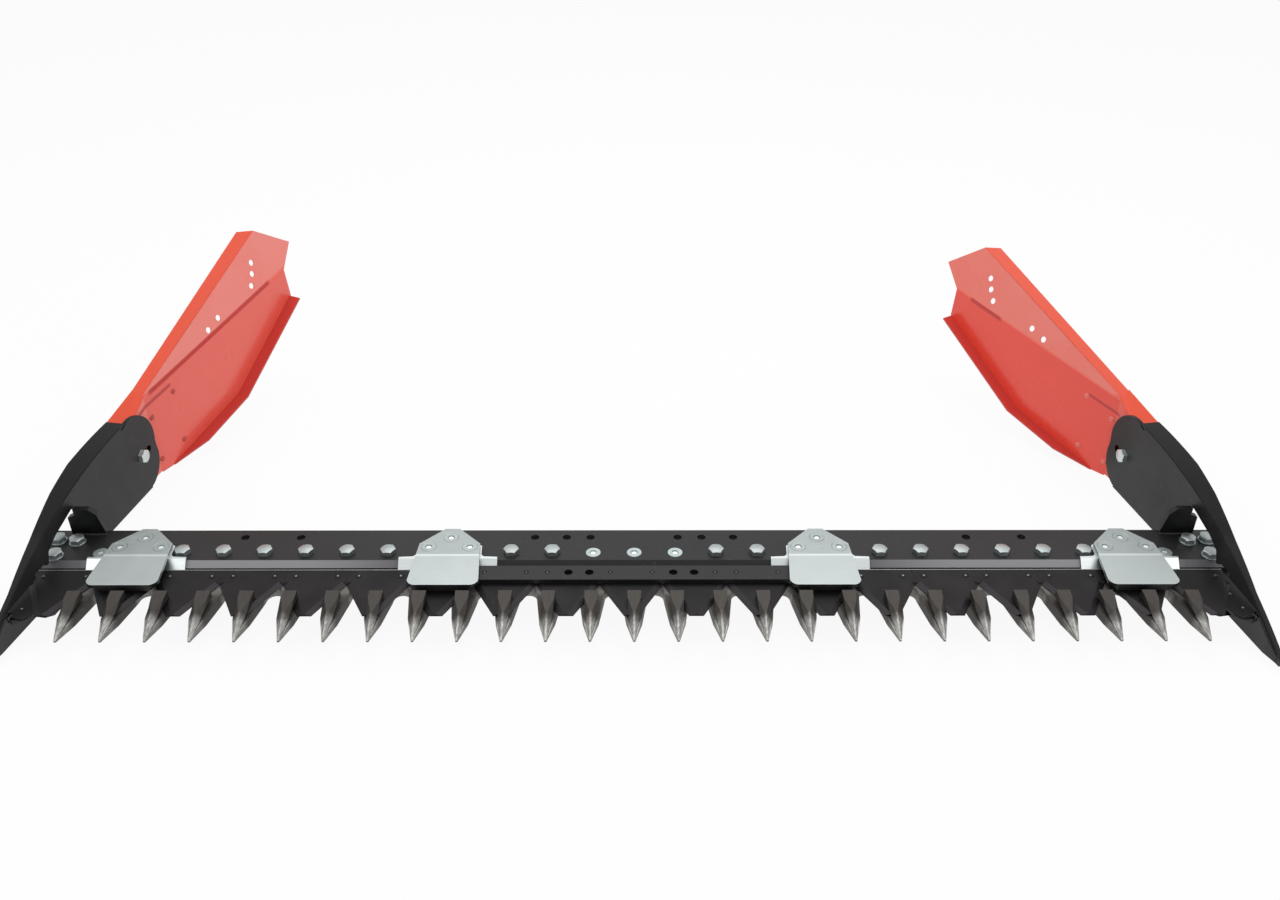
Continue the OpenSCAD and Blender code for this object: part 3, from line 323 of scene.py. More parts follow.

# %% [markdown]
# ## Forged fingers
# A finger is a steel forging, brown-black from its scale, with its nose ground bright, brightest on the upper
# side and painted half as bright on its flanks as shade, and the arch beside it left rough and grey. The
# three zones lie at known places, so the finish finds them by place. The grinder's streaks are drawn coarser
# than real ones, so that they show.

# %% Forged steel, ground at the nose
STREAK_MM, FORGED_MM, RAGGED_MM = 2.2, 5, 30
NOSE_FROM, NOSE_FULL, NOSE_RAGGED = -0.132, -0.150, 0.022
ARCH_FROM, ARCH_FULL, ARCH_TOP, ARCH_LOW = -0.108, -0.098, -0.0075, -0.0095


def forged_finger():
    finish, tree, spot, facing = new_finish("forged_finger_steel")
    place = add(tree, "SeparateXYZ", {0: spot})
    lean = add(tree, "SeparateXYZ", {0: facing})
    drawn = add(tree, "Mapping", {"Vector": spot, "Scale": (1.0, 0.07, 1.0)})
    streak = add(tree, "TexNoise", {"Vector": drawn.outputs[0], "Scale": per_metre(STREAK_MM), "Detail": 4.0})
    rough = add(tree, "TexNoise", {"Vector": spot, "Scale": per_metre(FORGED_MM), "Detail": 6.0})
    cloud = add(tree, "TexNoise", {"Vector": spot, "Scale": per_metre(RAGGED_MM), "Detail": 3.0})
    scale = add(tree, "Mix", {
        0: streak.outputs["Fac"], 6: linear("#35322f"), 7: linear("#4b4743")}, **COLOURS)
    ground = add(tree, "MapRange", {0: streak.outputs["Fac"], 1: 0.36, 2: 0.66})
    bright = add(tree, "Mix", {0: ground.outputs[0], 6: linear("#8a8885"), 7: linear("#b8b6b3")}, **COLOURS)
    ragged = add(tree, "Math", {0: cloud.outputs["Fac"], 1: NOSE_RAGGED, 2: place.outputs["Y"]},
                 operation="MULTIPLY_ADD")
    tip = add(tree, "MapRange", {0: ragged.outputs[0], 1: NOSE_FROM, 2: NOSE_FULL}, **SOFTLY)
    # the nose's flanks get half its brightness by facing, a painted shade
    upper = add(tree, "MapRange", {0: lean.outputs["Z"], 1: 0.15, 2: 0.4, 3: 0.5, 4: 1.0})
    nose = add(tree, "Math", {0: tip.outputs[0], 1: upper.outputs[0]}, operation="MULTIPLY")
    tipped = add(tree, "Mix", {0: nose.outputs[0], 6: scale.outputs[2], 7: bright.outputs[2]}, **COLOURS)
    cast = add(tree, "Mix", {0: rough.outputs["Fac"], 6: linear("#716e6a"), 7: linear("#a09d98")}, **COLOURS)
    behind = add(tree, "MapRange", {0: place.outputs["Y"], 1: ARCH_FROM, 2: ARCH_FULL}, **SOFTLY)
    low = add(tree, "MapRange", {0: place.outputs["Z"], 1: ARCH_TOP, 2: ARCH_LOW})
    arch = add(tree, "Math", {0: behind.outputs[0], 1: low.outputs[0]}, operation="MULTIPLY")
    colour = add(tree, "Mix", {0: arch.outputs[0], 6: tipped.outputs[2], 7: cast.outputs[2]}, **COLOURS)
    gloss = add(tree, "MapRange", {0: nose.outputs[0], 1: 0.0, 2: 1.0, 3: 0.54, 4: 0.48})
    metal = add(tree, "MapRange", {0: arch.outputs[0], 1: 0.0, 2: 1.0, 3: 0.65, 4: 0.5})
    bump = add(tree, "Bump", {"Strength": 0.12, "Distance": 0.0004, "Height": rough.outputs["Fac"]})
    shader = add(tree, "BsdfPrincipled", {
        "Base Color": colour.outputs[2], "Metallic": metal.outputs[0], "Roughness": gloss.outputs[0],
        "Normal": bump.outputs["Normal"]})
    add(tree, "OutputMaterial", {"Surface": shader.outputs[0]})
    return finish


# dull brown lips, rough grey arches and a streaky bright nose
finger_steel = forged_finger()
print("fingers:", finger_steel.name)

# %% [markdown]
# ## Blade steel
# The knife sections and the ledgers are hardened dark, and only the bevels along their cutting edges are
# ground. A bevel leans, so the finish tells it by how far its face is from level. The grinding lines are
# drawn coarser than real ones, so that they show.

# %% Hardened blades with ground bevels
HARDENED_MM, GRIND_MM = 35, 1.6
SHOULDER_FROM, SHOULDER_FULL, REAR_FROM, REAR_FULL = -0.092, -0.088, -0.0602, -0.0596


def section_painted_light(tree, spot, lean, colour):
    place = add(tree, "SeparateXYZ", {0: spot})
    # between two blades the grinder stops short and leaves a small upright shoulder, painted lighter over its
    # shade
    tilt = add(tree, "Math", {0: lean.outputs["Z"]}, operation="ABSOLUTE")
    upright = add(tree, "MapRange", {0: tilt.outputs[0], 1: 0.3, 2: 0.1})
    root = add(tree, "MapRange", {0: place.outputs["Y"], 1: SHOULDER_FROM, 2: SHOULDER_FULL})
    lit_shoulder = add(tree, "Math", {0: upright.outputs[0], 1: root.outputs[0]}, operation="MULTIPLY")
    colour = add(tree, "Mix", {0: lit_shoulder.outputs[0], 6: colour.outputs[2], 7: linear("#6f6c69")}, **COLOURS)
    # the rear edge runs along the guides and gets a thin painted highlight line
    painted_shine = add(tree, "MapRange", {0: place.outputs["Y"], 1: REAR_FROM, 2: REAR_FULL})
    return add(tree, "Mix", {0: painted_shine.outputs[0], 6: colour.outputs[2], 7: linear("#a5a5a7")}, **COLOURS)


def blade(name, dark, worn, edge, painted_light=None):
    finish, tree, spot, facing = new_finish(name)
    lean = add(tree, "SeparateXYZ", {0: facing})
    bevel = add(tree, "MapRange", {0: lean.outputs["Z"], 1: 0.985, 2: 0.955})
    upper = add(tree, "Math", {0: lean.outputs["Z"], 1: 0.5}, operation="GREATER_THAN")
    ground = add(tree, "Math", {0: bevel.outputs[0], 1: upper.outputs[0]}, operation="MULTIPLY")
    cloud = add(tree, "TexNoise", {"Vector": spot, "Scale": per_metre(HARDENED_MM), "Detail": 6.0})
    drawn = add(tree, "Mapping", {"Vector": spot, "Scale": (0.06, 1.0, 1.0)})
    lines = add(tree, "TexNoise", {"Vector": drawn.outputs[0], "Scale": per_metre(GRIND_MM), "Detail": 3.0})
    body = add(tree, "Mix", {0: cloud.outputs["Fac"], 6: linear(dark), 7: linear(worn)}, **COLOURS)
    shine = add(tree, "Mix", {0: lines.outputs["Fac"], 6: linear(worn), 7: linear(edge)}, **COLOURS)
    colour = add(tree, "Mix", {0: ground.outputs[0], 6: body.outputs[2], 7: shine.outputs[2]}, **COLOURS)
    if painted_light is not None:
        colour = painted_light(tree, spot, lean, colour)
    gloss = add(tree, "MapRange", {0: cloud.outputs["Fac"], 1: 0.3, 2: 0.7, 3: 0.52, 4: 0.4})
    bump = add(tree, "Bump", {"Strength": 0.08, "Distance": 0.0003, "Height": lines.outputs["Fac"]})
    shader = add(tree, "BsdfPrincipled", {
        "Base Color": colour.outputs[2], "Metallic": 0.85, "Roughness": gloss.outputs[0],
        "Normal": bump.outputs["Normal"]})
    add(tree, "OutputMaterial", {"Surface": shader.outputs[0]})
    return finish


# near-black plate that turns a little lighter on its ground bevels
section_steel = blade("hardened_section_steel", "#1c1b1c", "#282627", "#302e30", section_painted_light)
ledger_steel = blade("hardened_ledger_steel", "#1c1b1c", "#282728", "#454344")
print("blades:", section_steel.name, ledger_steel.name)

# %% [markdown]
# ## Zinc
# Guides, holders and bolts are zinc plated: a pale blue-grey metal, a little cloudy where the bath dried,
# with fine marks from rolling on the plates, drawn coarser than real ones so that they show. The bare steel
# of the rivets is made in the same way, in darker greys.

# %% Zinc plating
BATH_MM, ROLLING_MM = 24, 1.8
SOCKET_LIGHT_FADE, PRESSED, HIGHLIGHT_FROM, HIGHLIGHT_FULL = 0.0005, 0.001, 0.0026, 0.0008


def zinc(name, pale, cloudy, rolled, gloss_low, gloss_high, socket_below=None, bend_y=None):
    finish, tree, spot, _ = new_finish(name)
    place = add(tree, "SeparateXYZ", {0: spot})
    cloud = add(tree, "TexNoise", {"Vector": spot, "Scale": per_metre(BATH_MM), "Detail": 5.0})
    drawn = add(tree, "Mapping", {"Vector": spot, "Scale": (0.05, 1.0, 1.0)})
    lines = add(tree, "TexNoise", {"Vector": drawn.outputs[0], "Scale": per_metre(ROLLING_MM), "Detail": 3.0})
    bath = add(tree, "Mix", {0: cloud.outputs["Fac"], 6: linear(cloudy), 7: linear(pale)}, **COLOURS)
    mark = add(tree, "MapRange", {0: lines.outputs["Fac"], 1: 0.4, 2: 0.75, 3: 0.0, 4: 0.25})
    colour = add(tree, "Mix", {0: mark.outputs[0], 6: bath.outputs[2], 7: linear(rolled)}, **COLOURS)
    if socket_below is not None:
        # the sockets below the head's own face are painted pale, light painted over their shade
        lit_socket = add(tree, "MapRange", {0: place.outputs["Z"], 1: socket_below, 2: socket_below - SOCKET_LIGHT_FADE})
        colour = add(tree, "Mix", {0: lit_socket.outputs[0], 6: colour.outputs[2], 7: linear("#e2e7e7")}, **COLOURS)
    if bend_y is not None:
        # the sheet is pressed over a soft bend, with a painted highlight along it and painted light in front
        # of it
        front = add(tree, "MapRange", {
            0: place.outputs["Y"], 1: bend_y + PRESSED, 2: bend_y - PRESSED, 3: 0.0, 4: 0.5})
        colour = add(tree, "Mix", {0: front.outputs[0], 6: colour.outputs[2], 7: linear(rolled)}, **COLOURS)
        off = add(tree, "Math", {0: place.outputs["Y"], 1: bend_y}, operation="SUBTRACT")
        away = add(tree, "Math", {0: off.outputs[0]}, operation="ABSOLUTE")
        line = add(tree, "MapRange", {0: away.outputs[0], 1: HIGHLIGHT_FROM, 2: HIGHLIGHT_FULL, 3: 0.0, 4: 0.8})
        colour = add(tree, "Mix", {0: line.outputs[0], 6: colour.outputs[2], 7: linear("#c9d0cf")}, **COLOURS)
    gloss = add(tree, "MapRange", {0: cloud.outputs["Fac"], 1: 0.3, 2: 0.7, 3: gloss_low, 4: gloss_high})
    bump = add(tree, "Bump", {"Strength": 0.05, "Distance": 0.0003, "Height": lines.outputs["Fac"]})
    shader = add(tree, "BsdfPrincipled", {
        "Base Color": colour.outputs[2], "Metallic": 1.0, "Roughness": gloss.outputs[0],
        "Normal": bump.outputs["Normal"]})
    add(tree, "OutputMaterial", {"Surface": shader.outputs[0]})
    return finish


print("rolling marks", ROLLING_MM, "mm apart, bath clouds", BATH_MM, "mm wide")

# %% [markdown]
# ## One plating on many pieces
# The plated pieces had the same kind of bath, but the crop, the knife and the weather have treated them
# differently, and some also get painted highlights and shade. One function with other greys is enough for
# them and for the bare rivets, and keeps them looking like one family of metal.

# %% Plates, guides, bolts and screws
HOLDER_BEND_Y, FLUSH_FACE_Z, HOLDER_FACE_Z = -0.048, -0.0004, 0.0086
# satin sheet with edges painted brighter as a highlight, and painted shade on a holder's front below its edge
zinc_plate = zinc("zinc_plated_sheet", "#a3aaa9", "#949c9b", "#b2b9b8", 0.38, 0.5, bend_y=HOLDER_BEND_Y)
zinc_highlight_edge = zinc("zinc_painted_highlight_edge", "#cfd5d4", "#c2c8c7", "#dbe0df", 0.34, 0.44)
holder_front_shade = zinc("painted_shade_zinc", "#3f403f", "#333433", "#4a4b4a", 0.5, 0.6)
# the guides are rubbed bright by the knife, and the pivot bolts are the palest of all
guide_zinc = zinc("zinc_plated_guide", "#cdd2d2", "#bcc2c2", "#dadede", 0.3, 0.4)
pivot_zinc = zinc("zinc_pivot_bolt", "#d3dad9", "#c6cdcc", "#dfe5e4", 0.42, 0.54)
# duller bolts and screws, with grime along their rims and pale painted light in their sockets
zinc_bolt = zinc("zinc_plated_bolt", "#a9afaf", "#9ba2a2", "#b7bdbd", 0.42, 0.54)
flush_zinc = zinc("zinc_flush_screw", "#b3bebe", "#94a0a0", "#c3cdcd", 0.3, 0.42, FLUSH_FACE_Z)
holder_zinc = zinc("zinc_holder_screw", "#a9b1b1", "#8f9797", "#bac1c1", 0.3, 0.42, HOLDER_FACE_Z)
rim_grime = zinc("grimy_zinc_rim", "#7b8180", "#6a706f", "#8d9392", 0.4, 0.5)
# dark rivets, each with a light dot on its crown as a painted highlight
rivet_steel = zinc("plain_rivet_steel", "#2b2a2b", "#232223", "#353435", 0.4, 0.5)
rivet_highlight = zinc("painted_rivet_highlight", "#8f8e8f", "#828182", "#9c9b9c", 0.34, 0.44)
print("zinc:", zinc_plate.name, zinc_bolt.name, "rivets:", rivet_steel.name)

# %% [markdown]
# ## Red enamel
# The swath boards are folded sheet under semi-gloss orange-red enamel. Their bends get painted shade as
# darker lines, one along the long diagonal fold and a short one below its front end. The lines lie in the
# panel's own plane, so each side gets a Mapping node that turns the object's coordinates into the panel's:
# along the panel in Y and up in Z.

# %% Where a board's panel lies
TOE, PIVOT_REACH, PIVOT_RISE = math.radians(10), 0.200, 0.016
SHOE_AT = Vector((0.7094, -0.031, 0))
SHOE = Matrix.Translation(SHOE_AT) @ Matrix.Rotation(TOE, 4, "Z")
PIVOT = SHOE @ Vector((0, PIVOT_REACH, PIVOT_RISE))
BOARD_OUT, SHEET_HALF, TAB_REACH = 0.0062, 0.00125, 0.042


def panel_frame(bend_degrees, pitch_degrees):
    pitch = Matrix.Rotation(math.radians(pitch_degrees), 4, "X")
    bend = Matrix.Rotation(math.radians(bend_degrees), 4, "Z")
    board = Matrix.Translation((BOARD_OUT, PIVOT_REACH, PIVOT_RISE)) @ pitch
    return SHOE @ board @ Matrix.Translation((SHEET_HALF, TAB_REACH, 0)) @ bend


print("right pivot at", tuple(round(v, 4) for v in PIVOT))

# %% [markdown]
# ## Creases
# Where painted sheet is bent, the bend's shade is painted as a line darker than the sheet. A line could be
# cut into the mesh, but paint doesn't change the shape, so it is drawn as a narrow band about a straight
# line, which fades at both ends.

# %% A painted shade line along a bend
LINE_OUTER, LINE_INNER, LINE_START, LINE_END = 0.0012, 0.0008, 0.004, 0.003


def crease_shade(tree, place, colour, start, end, rise, slope, half_width):
    line = add(tree, "Math", {0: place.outputs["Y"], 1: slope, 2: rise}, operation="MULTIPLY_ADD")
    off = add(tree, "Math", {0: place.outputs["Z"], 1: line.outputs[0]}, operation="SUBTRACT")
    away = add(tree, "Math", {0: off.outputs[0]}, operation="ABSOLUTE")
    band = add(tree, "MapRange", {
        0: away.outputs[0], 1: half_width + LINE_OUTER, 2: half_width - LINE_INNER}, **SOFTLY)
    begins = add(tree, "MapRange", {
        0: place.outputs["Y"], 1: start - LINE_START, 2: start + LINE_START}, **SOFTLY)
    ends = add(tree, "MapRange", {0: place.outputs["Y"], 1: end + LINE_END, 2: end - LINE_END}, **SOFTLY)
    within = add(tree, "Math", {0: begins.outputs[0], 1: ends.outputs[0]}, operation="MULTIPLY")
    crease = add(tree, "Math", {0: band.outputs[0], 1: within.outputs[0]}, operation="MULTIPLY")
    # the band is painted a darker red, a painted shade along the bend
    return add(tree, "Mix", {0: crease.outputs[0], 6: colour.outputs[2], 7: linear("#c42c24")}, **COLOURS)


print("crease lines fade over", LINE_OUTER + LINE_INNER, "m")

# %% [markdown]
# ## The red coat
# The coat is glossy, with a pink painted reflection on the facet above the fold, deeper reds on the flange
# and the lip, and a painted shade in black round the pivot. A clear coat over the colour gives the small hard
# highlights of enamel.

# %% Red enamel with painted shade at the bends
HAZE_MM, RED_PEEL_MM = 90, 3
FOLD_SLOPE, FOLD_SOFT = math.tan(math.radians(13.1)), 0.004
TAB_EDGE, LOW_FROM, LOW_FULL, TAB_FROM, TAB_FULL = 0.0005, -0.0014, -0.0018, 0.002, 0.003
PIVOT_SHADE_FROM, PIVOT_SHADE_FULL = 0.024, 0.020


def red_enamel(name, side, bend_degrees, pitch_degrees, fold_rise, creases, panel_red, facet_haze_red, tab_lit_red):
    finish, tree, spot, facing = new_finish(name)
    back = panel_frame(bend_degrees, pitch_degrees).inverted()
    panel = add(tree, "Mapping", {
        "Vector": spot, "Scale": (side, 1, 1), "Rotation": back.to_euler(),
        "Location": back.to_translation()})
    place = add(tree, "SeparateXYZ", {0: panel.outputs[0]})
    lean = add(tree, "SeparateXYZ", {0: facing})
    cloud = add(tree, "TexNoise", {"Vector": spot, "Scale": per_metre(HAZE_MM), "Detail": 4.0})
    peel = add(tree, "TexNoise", {"Vector": spot, "Scale": per_metre(RED_PEEL_MM), "Detail": 2.0})
    # the facet above the fold is painted pink, in clouds, as a painted reflection
    fold = add(tree, "Math", {0: place.outputs["Y"], 1: FOLD_SLOPE, 2: fold_rise}, operation="MULTIPLY_ADD")
    above = add(tree, "Math", {0: place.outputs["Z"], 1: fold.outputs[0]}, operation="SUBTRACT")
    on_facet = add(tree, "MapRange", {0: above.outputs[0], 1: 0.0, 2: FOLD_SOFT})
    haze_clouds = add(tree, "MapRange", {0: cloud.outputs["Fac"], 1: 0.3, 2: 0.7, 3: 0.75, 4: 1.0})
    painted_haze = add(tree, "Math", {0: on_facet.outputs[0], 1: haze_clouds.outputs[0]}, operation="MULTIPLY")
    colour = add(tree, "Mix", {0: painted_haze.outputs[0], 6: linear(panel_red), 7: linear(facet_haze_red)}, **COLOURS)
    # the tab at the front is painted lighter over its shade, the flange on top a deeper orange for its weaker
    # reflection, and the lip below a deeper red
    on_tab = add(tree, "MapRange", {0: place.outputs["Y"], 1: TAB_EDGE, 2: -TAB_EDGE})
    on_top = add(tree, "MapRange", {0: lean.outputs["Z"], 1: 0.6, 2: 0.75})
    bent = add(tree, "MapRange", {0: place.outputs["X"], 1: LOW_FROM, 2: LOW_FULL})
    past_tab = add(tree, "MapRange", {0: place.outputs["Y"], 1: TAB_FROM, 2: TAB_FULL})
    on_low = add(tree, "Math", {0: bent.outputs[0], 1: past_tab.outputs[0]}, operation="MULTIPLY")
    for zone, red in ((on_tab, tab_lit_red), (on_top, "#e9430e"), (on_low, "#cc3f37")):
        colour = add(tree, "Mix", {0: zone.outputs[0], 6: colour.outputs[2], 7: linear(red)}, **COLOURS)
    for crease in creases:
        colour = crease_shade(tree, place, colour, *crease)
    # painted shade round the pivot, seen through the slot in the shoe
    near = add(tree, "VectorMath", {0: spot, 1: (side * PIVOT.x, PIVOT.y, PIVOT.z)}, operation="DISTANCE")
    pivot_shade = add(tree, "MapRange", {0: near.outputs["Value"], 1: PIVOT_SHADE_FROM, 2: PIVOT_SHADE_FULL})
    colour = add(tree, "Mix", {0: pivot_shade.outputs[0], 6: colour.outputs[2], 7: linear("#0c0b0b")}, **COLOURS)
    gloss = add(tree, "MapRange", {0: cloud.outputs["Fac"], 1: 0.3, 2: 0.7, 3: 0.24, 4: 0.36})
    bump = add(tree, "Bump", {"Strength": 0.04, "Distance": 0.0004, "Height": peel.outputs["Fac"]})
    shader = add(tree, "BsdfPrincipled", {
        "Base Color": colour.outputs[2], "Roughness": gloss.outputs[0], "Coat Weight": 0.35,
        "Coat Roughness": 0.12, "Normal": bump.outputs["Normal"]})
    add(tree, "OutputMaterial", {"Surface": shader.outputs[0]})
    return finish


print("the fold rises", round(FOLD_SLOPE * 1000), "mm in a metre")

# %% [markdown]
# ## A left and a right board
# The boards are bent by different angles and catch different light, so each has its own reds and its own
# creases.

# %% Both boards' reds
LEFT_BEND, LEFT_PITCH, LEFT_FOLD = 16, 0, 0.065
RIGHT_BEND, RIGHT_PITCH, RIGHT_FOLD = 24, -4.5, 0.062
SHORT_SLOPE = 0.2143
# a crease's start, end, rise, slope and half width; the right fold's shade is painted only at its far end
left_creases = ((0.012, 0.273, LEFT_FOLD, FOLD_SLOPE, 0.0026), (-0.02, 0.05, 0.0526, SHORT_SLOPE, 0.0025))
right_creases = ((0.218, 0.279, RIGHT_FOLD, FOLD_SLOPE, 0.0028), (-0.005, 0.05, 0.0436, SHORT_SLOPE, 0.002))
# glossy orange-red with a pink painted reflection on the upper facet, the left board paler in its light
left_red = red_enamel("left_red_enamel", -1, LEFT_BEND, LEFT_PITCH, LEFT_FOLD, left_creases,
                      "#f36152", "#f3897e", "#fb7a6c")
right_red = red_enamel("right_red_enamel", 1, RIGHT_BEND, RIGHT_PITCH, RIGHT_FOLD, right_creases,
                       "#f34a38", "#ee7f72", "#f9604e")
print("red:", left_red.name, right_red.name)

# %% [markdown]
# ## Every solid gets its finish
# The record names a slot for each solid. A solid that keeps its own shape only has its finish swapped here.

# %% Dress the solids
FINISH_OF = {"black_paint": bar_enamel, "shoe_paint": shoe_enamel, "finger_steel": finger_steel,
             "blade_steel": section_steel, "ledger_steel": ledger_steel, "rivet_steel": rivet_steel,
             "zinc_plate": zinc_plate, "zinc_bolts": zinc_bolt, "red_paint": left_red}
slot_of = {part["node"]: part["material_slot"] for part in frame["record"]["subparts"]}
body_of = {node: body for body, names in frame["record"]["behaviour"]["bodies"].items() for node in names}
for node, solid in nodes.items():
    finish = FINISH_OF[slot_of[node]]
    if finish is left_red and node.startswith("right"):
        finish = right_red
    solid.data.materials.clear()
    solid.data.materials.append(finish)
print("dressed", len(nodes), "solids")

# %% [markdown]
# ## Rounded edges
# No real edge is perfectly sharp: sawn bar has a small burr ground off, forgings are round, sheet is
# tumbled. A thin line of light along each edge tells the eye how the piece was made. The solid is copied,
# its loose triangles are merged and its flat faces joined, and a Bevel modifier rounds every edge that
# turns sharply.

# %% A copy of a solid with rounded edges
MERGE, LEVEL_NEAR = 1.5e-5, 5e-5
FLAT_TURN, SHARP_TURN, SMOOTH_TURN = (math.radians(a) for a in (0.4, 32, 38))


def only(piece):
    bpy.ops.object.select_all(action="DESELECT")
    piece.select_set(True)
    bpy.context.view_layer.objects.active = piece


def stand_in(piece, node):
    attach(piece, body_of[node])
    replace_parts(piece, node)


def lifted(piece, floor, rise):
    bpy.ops.mesh.select_mode(type="VERT")
    bpy.ops.mesh.select_all(action="DESELECT")
    bpy.ops.object.mode_set(mode="OBJECT")
    for vertex in piece.data.vertices:
        vertex.select = abs(vertex.co.z - floor) < LEVEL_NEAR
    bpy.ops.object.mode_set(mode="EDIT")
    bpy.ops.transform.translate(value=(0, 0, rise))


def rounded(node, width_mm, segments, edge_finish, lift=None):
    only(nodes[node])
    bpy.ops.object.duplicate(linked=False)
    piece = bpy.context.object
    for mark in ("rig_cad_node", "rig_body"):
        del piece[mark]
    piece.name = node + "_rounded"
    bpy.ops.object.mode_set(mode="EDIT")
    bpy.ops.mesh.select_all(action="SELECT")
    bpy.ops.mesh.remove_doubles(threshold=MERGE)
    bpy.ops.mesh.dissolve_limited(angle_limit=FLAT_TURN)
    if lift is not None:
        lifted(piece, *lift)
    bpy.ops.object.mode_set(mode="OBJECT")
    piece.data.materials.append(edge_finish)
    bevel = piece.modifiers.new("round", "BEVEL")
    bevel.limit_method = "ANGLE"
    bevel.angle_limit = SHARP_TURN
    bevel.width = width_mm / 1000
    bevel.segments = segments
    bevel.material = 1
    bpy.ops.object.modifier_apply(modifier="round")
    bpy.ops.object.shade_smooth_by_angle(angle=SMOOTH_TURN)
    smooth = piece.modifiers.new("even", "WEIGHTED_NORMAL")
    smooth.keep_sharp = True
    bpy.ops.object.modifier_apply(modifier="even")
    stand_in(piece, node)
    return piece


bar = rounded("finger_bar", 0.9, 2, black_edge)
head_bar = rounded("knife_head_bar", 0.7, 2, black_edge)
print("bar:", len(bar.data.polygons), "faces; head bar:", len(head_bar.data.polygons))

# %% [markdown]
# ## Fingers, guides and holders
# These repeat along the bar, so each is rounded once and copied to the places where its solids stand. A
# holder's rounded edge is painted brighter as a highlight, and its faces that look forward, below that edge,
# get painted shade.

# %% Round one of each and copy it
HOLDER_EDGE_Z, FACING_FRONT = 0.0058, -0.3
DOUBLES = ["double_finger_%02d" % n for n in range(1, 14)]
GUIDES = ["knife_guide_%d" % n for n in range(1, 5)]
HOLDERS = ["knife_holder_%d" % n for n in range(1, 5)]


def repeated(piece, names):
    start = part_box(names[0])[0]
    for node in names[1:]:
        copy = piece.copy()
        copy.data = piece.data.copy()
        copy.name = node + "_rounded"
        del copy["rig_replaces"]
        bpy.context.scene.collection.objects.link(copy)
        copy.data.transform(Matrix.Translation(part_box(node)[0] - start))
        stand_in(copy, node)


double = rounded(DOUBLES[0], 0.6, 2, finger_steel)
repeated(double, DOUBLES)
rounded("single_finger", 0.6, 2, finger_steel)
nodes[GUIDES[0]].data.materials[0] = guide_zinc
guide = rounded(GUIDES[0], 1.1, 2, guide_zinc)
repeated(guide, GUIDES)
holder = rounded(HOLDERS[0], 1.3, 3, zinc_highlight_edge)
holder.data.materials.append(holder_front_shade)
# faces looking forward below the bright edge get painted shade
for face in holder.data.polygons:
    if face.normal.y < FACING_FRONT and face.center.z < HOLDER_EDGE_Z:
        face.material_index = 2
repeated(holder, HOLDERS)
print("faces in a finger:", len(double.data.polygons), "guide:", len(guide.data.polygons),
      "holder:", len(holder.data.polygons))

# %% [markdown]
# ## Shoes, ledgers and boards
# The shoes are flame-cut and welded plate with dressed edges, and the boards are folded sheet. Both come in
# a left and a right hand that differ, so each is rounded by itself. The faces of a shoe that look up get
# a less glossy copy of the enamel, which paints shade on them, and round the pivot the red edge finish is
# left off, so that no bright rim shows in the slot and the painted shade there stays whole.

# %% Round the shoes and the boards
PIVOT_SHADE_R, FACING_UP = 0.02, 0.2
for hand in ("left", "right"):
    shoe = rounded(hand + "_shoe", 1.2, 2, black_edge)
    shoe.data.materials.append(shaded_flange_enamel)
    # faces that look up get the less glossy copy, which paints shade on them
    for face in shoe.data.polygons:
        if face.material_index == 0 and face.normal.z > FACING_UP:
            face.material_index = 2
    board = rounded(hand + "_swath_board", 0.6, 2, red_edge)
    bracket = rounded(hand + "_board_bracket", 0.6, 2, red_edge)
    for sheet in (board, bracket):
        # round the pivot the faces keep the red enamel, with its painted shade
        for face in sheet.data.polygons:
            if math.hypot(face.center.y - PIVOT.y, face.center.z - PIVOT.z) < PIVOT_SHADE_R:
                face.material_index = 0
    nodes[hand + "_board_rivets"].data.materials[0] = rivet_lit_and_shaded[hand]
    rounded(hand + "_board_rivets", 0.4, 2, rivet_lit_and_shaded[hand])
    print(hand, "shoe:", len(shoe.data.polygons), "faces; board:", len(board.data.polygons),
          "bracket:", len(bracket.data.polygons))
ledgers = rounded("shoe_ledgers", 0.4, 1, ledger_steel)
print("ledgers:", len(ledgers.data.polygons), "faces")

# %% [markdown]
# ## Screws and rivets
# The countersunk screws have a turned head with a hexagon socket, and the knife's rivets have low round
# heads. Their rims are rounded off like the rest, which leaves a ring of light round each screw in its
# plate. Each socket's floor is lifted almost to the brim and painted pale, light painted over its shade, so
# no dark hole shows. A rivet's top face gets a smaller one inset, painted light as a highlight on its crown.

# %% Round the screws and the rivets
FLUSH_FLOOR_Z, HOLDER_FLOOR_Z, FLOOR_LIFT = -0.004, 0.005, 0.0029
HIGHLIGHT_INSET, LEVEL_TOP = 0.0017, 0.999


def shallow_socket_screws(node, finish, floor):
    nodes[node].data.materials.clear()
    nodes[node].data.materials.append(finish)
    return rounded(node, 0.5, 2, rim_grime, (floor, FLOOR_LIFT))


def with_crown_highlight(piece):
    piece.data.materials.append(rivet_highlight)
    only(piece)
    bpy.ops.object.mode_set(mode="EDIT")
    bpy.ops.mesh.select_mode(type="FACE")
    bpy.ops.mesh.select_all(action="DESELECT")
    bpy.ops.object.mode_set(mode="OBJECT")
    for face in piece.data.polygons:
        face.select = face.normal.z > LEVEL_TOP
    bpy.ops.object.mode_set(mode="EDIT")
    bpy.ops.mesh.inset(thickness=HIGHLIGHT_INSET, use_individual=True)
    bpy.ops.mesh.select_mode(type="VERT")
    bpy.ops.object.mode_set(mode="OBJECT")
    for face in piece.data.polygons:
        if face.select:
            face.material_index = 2


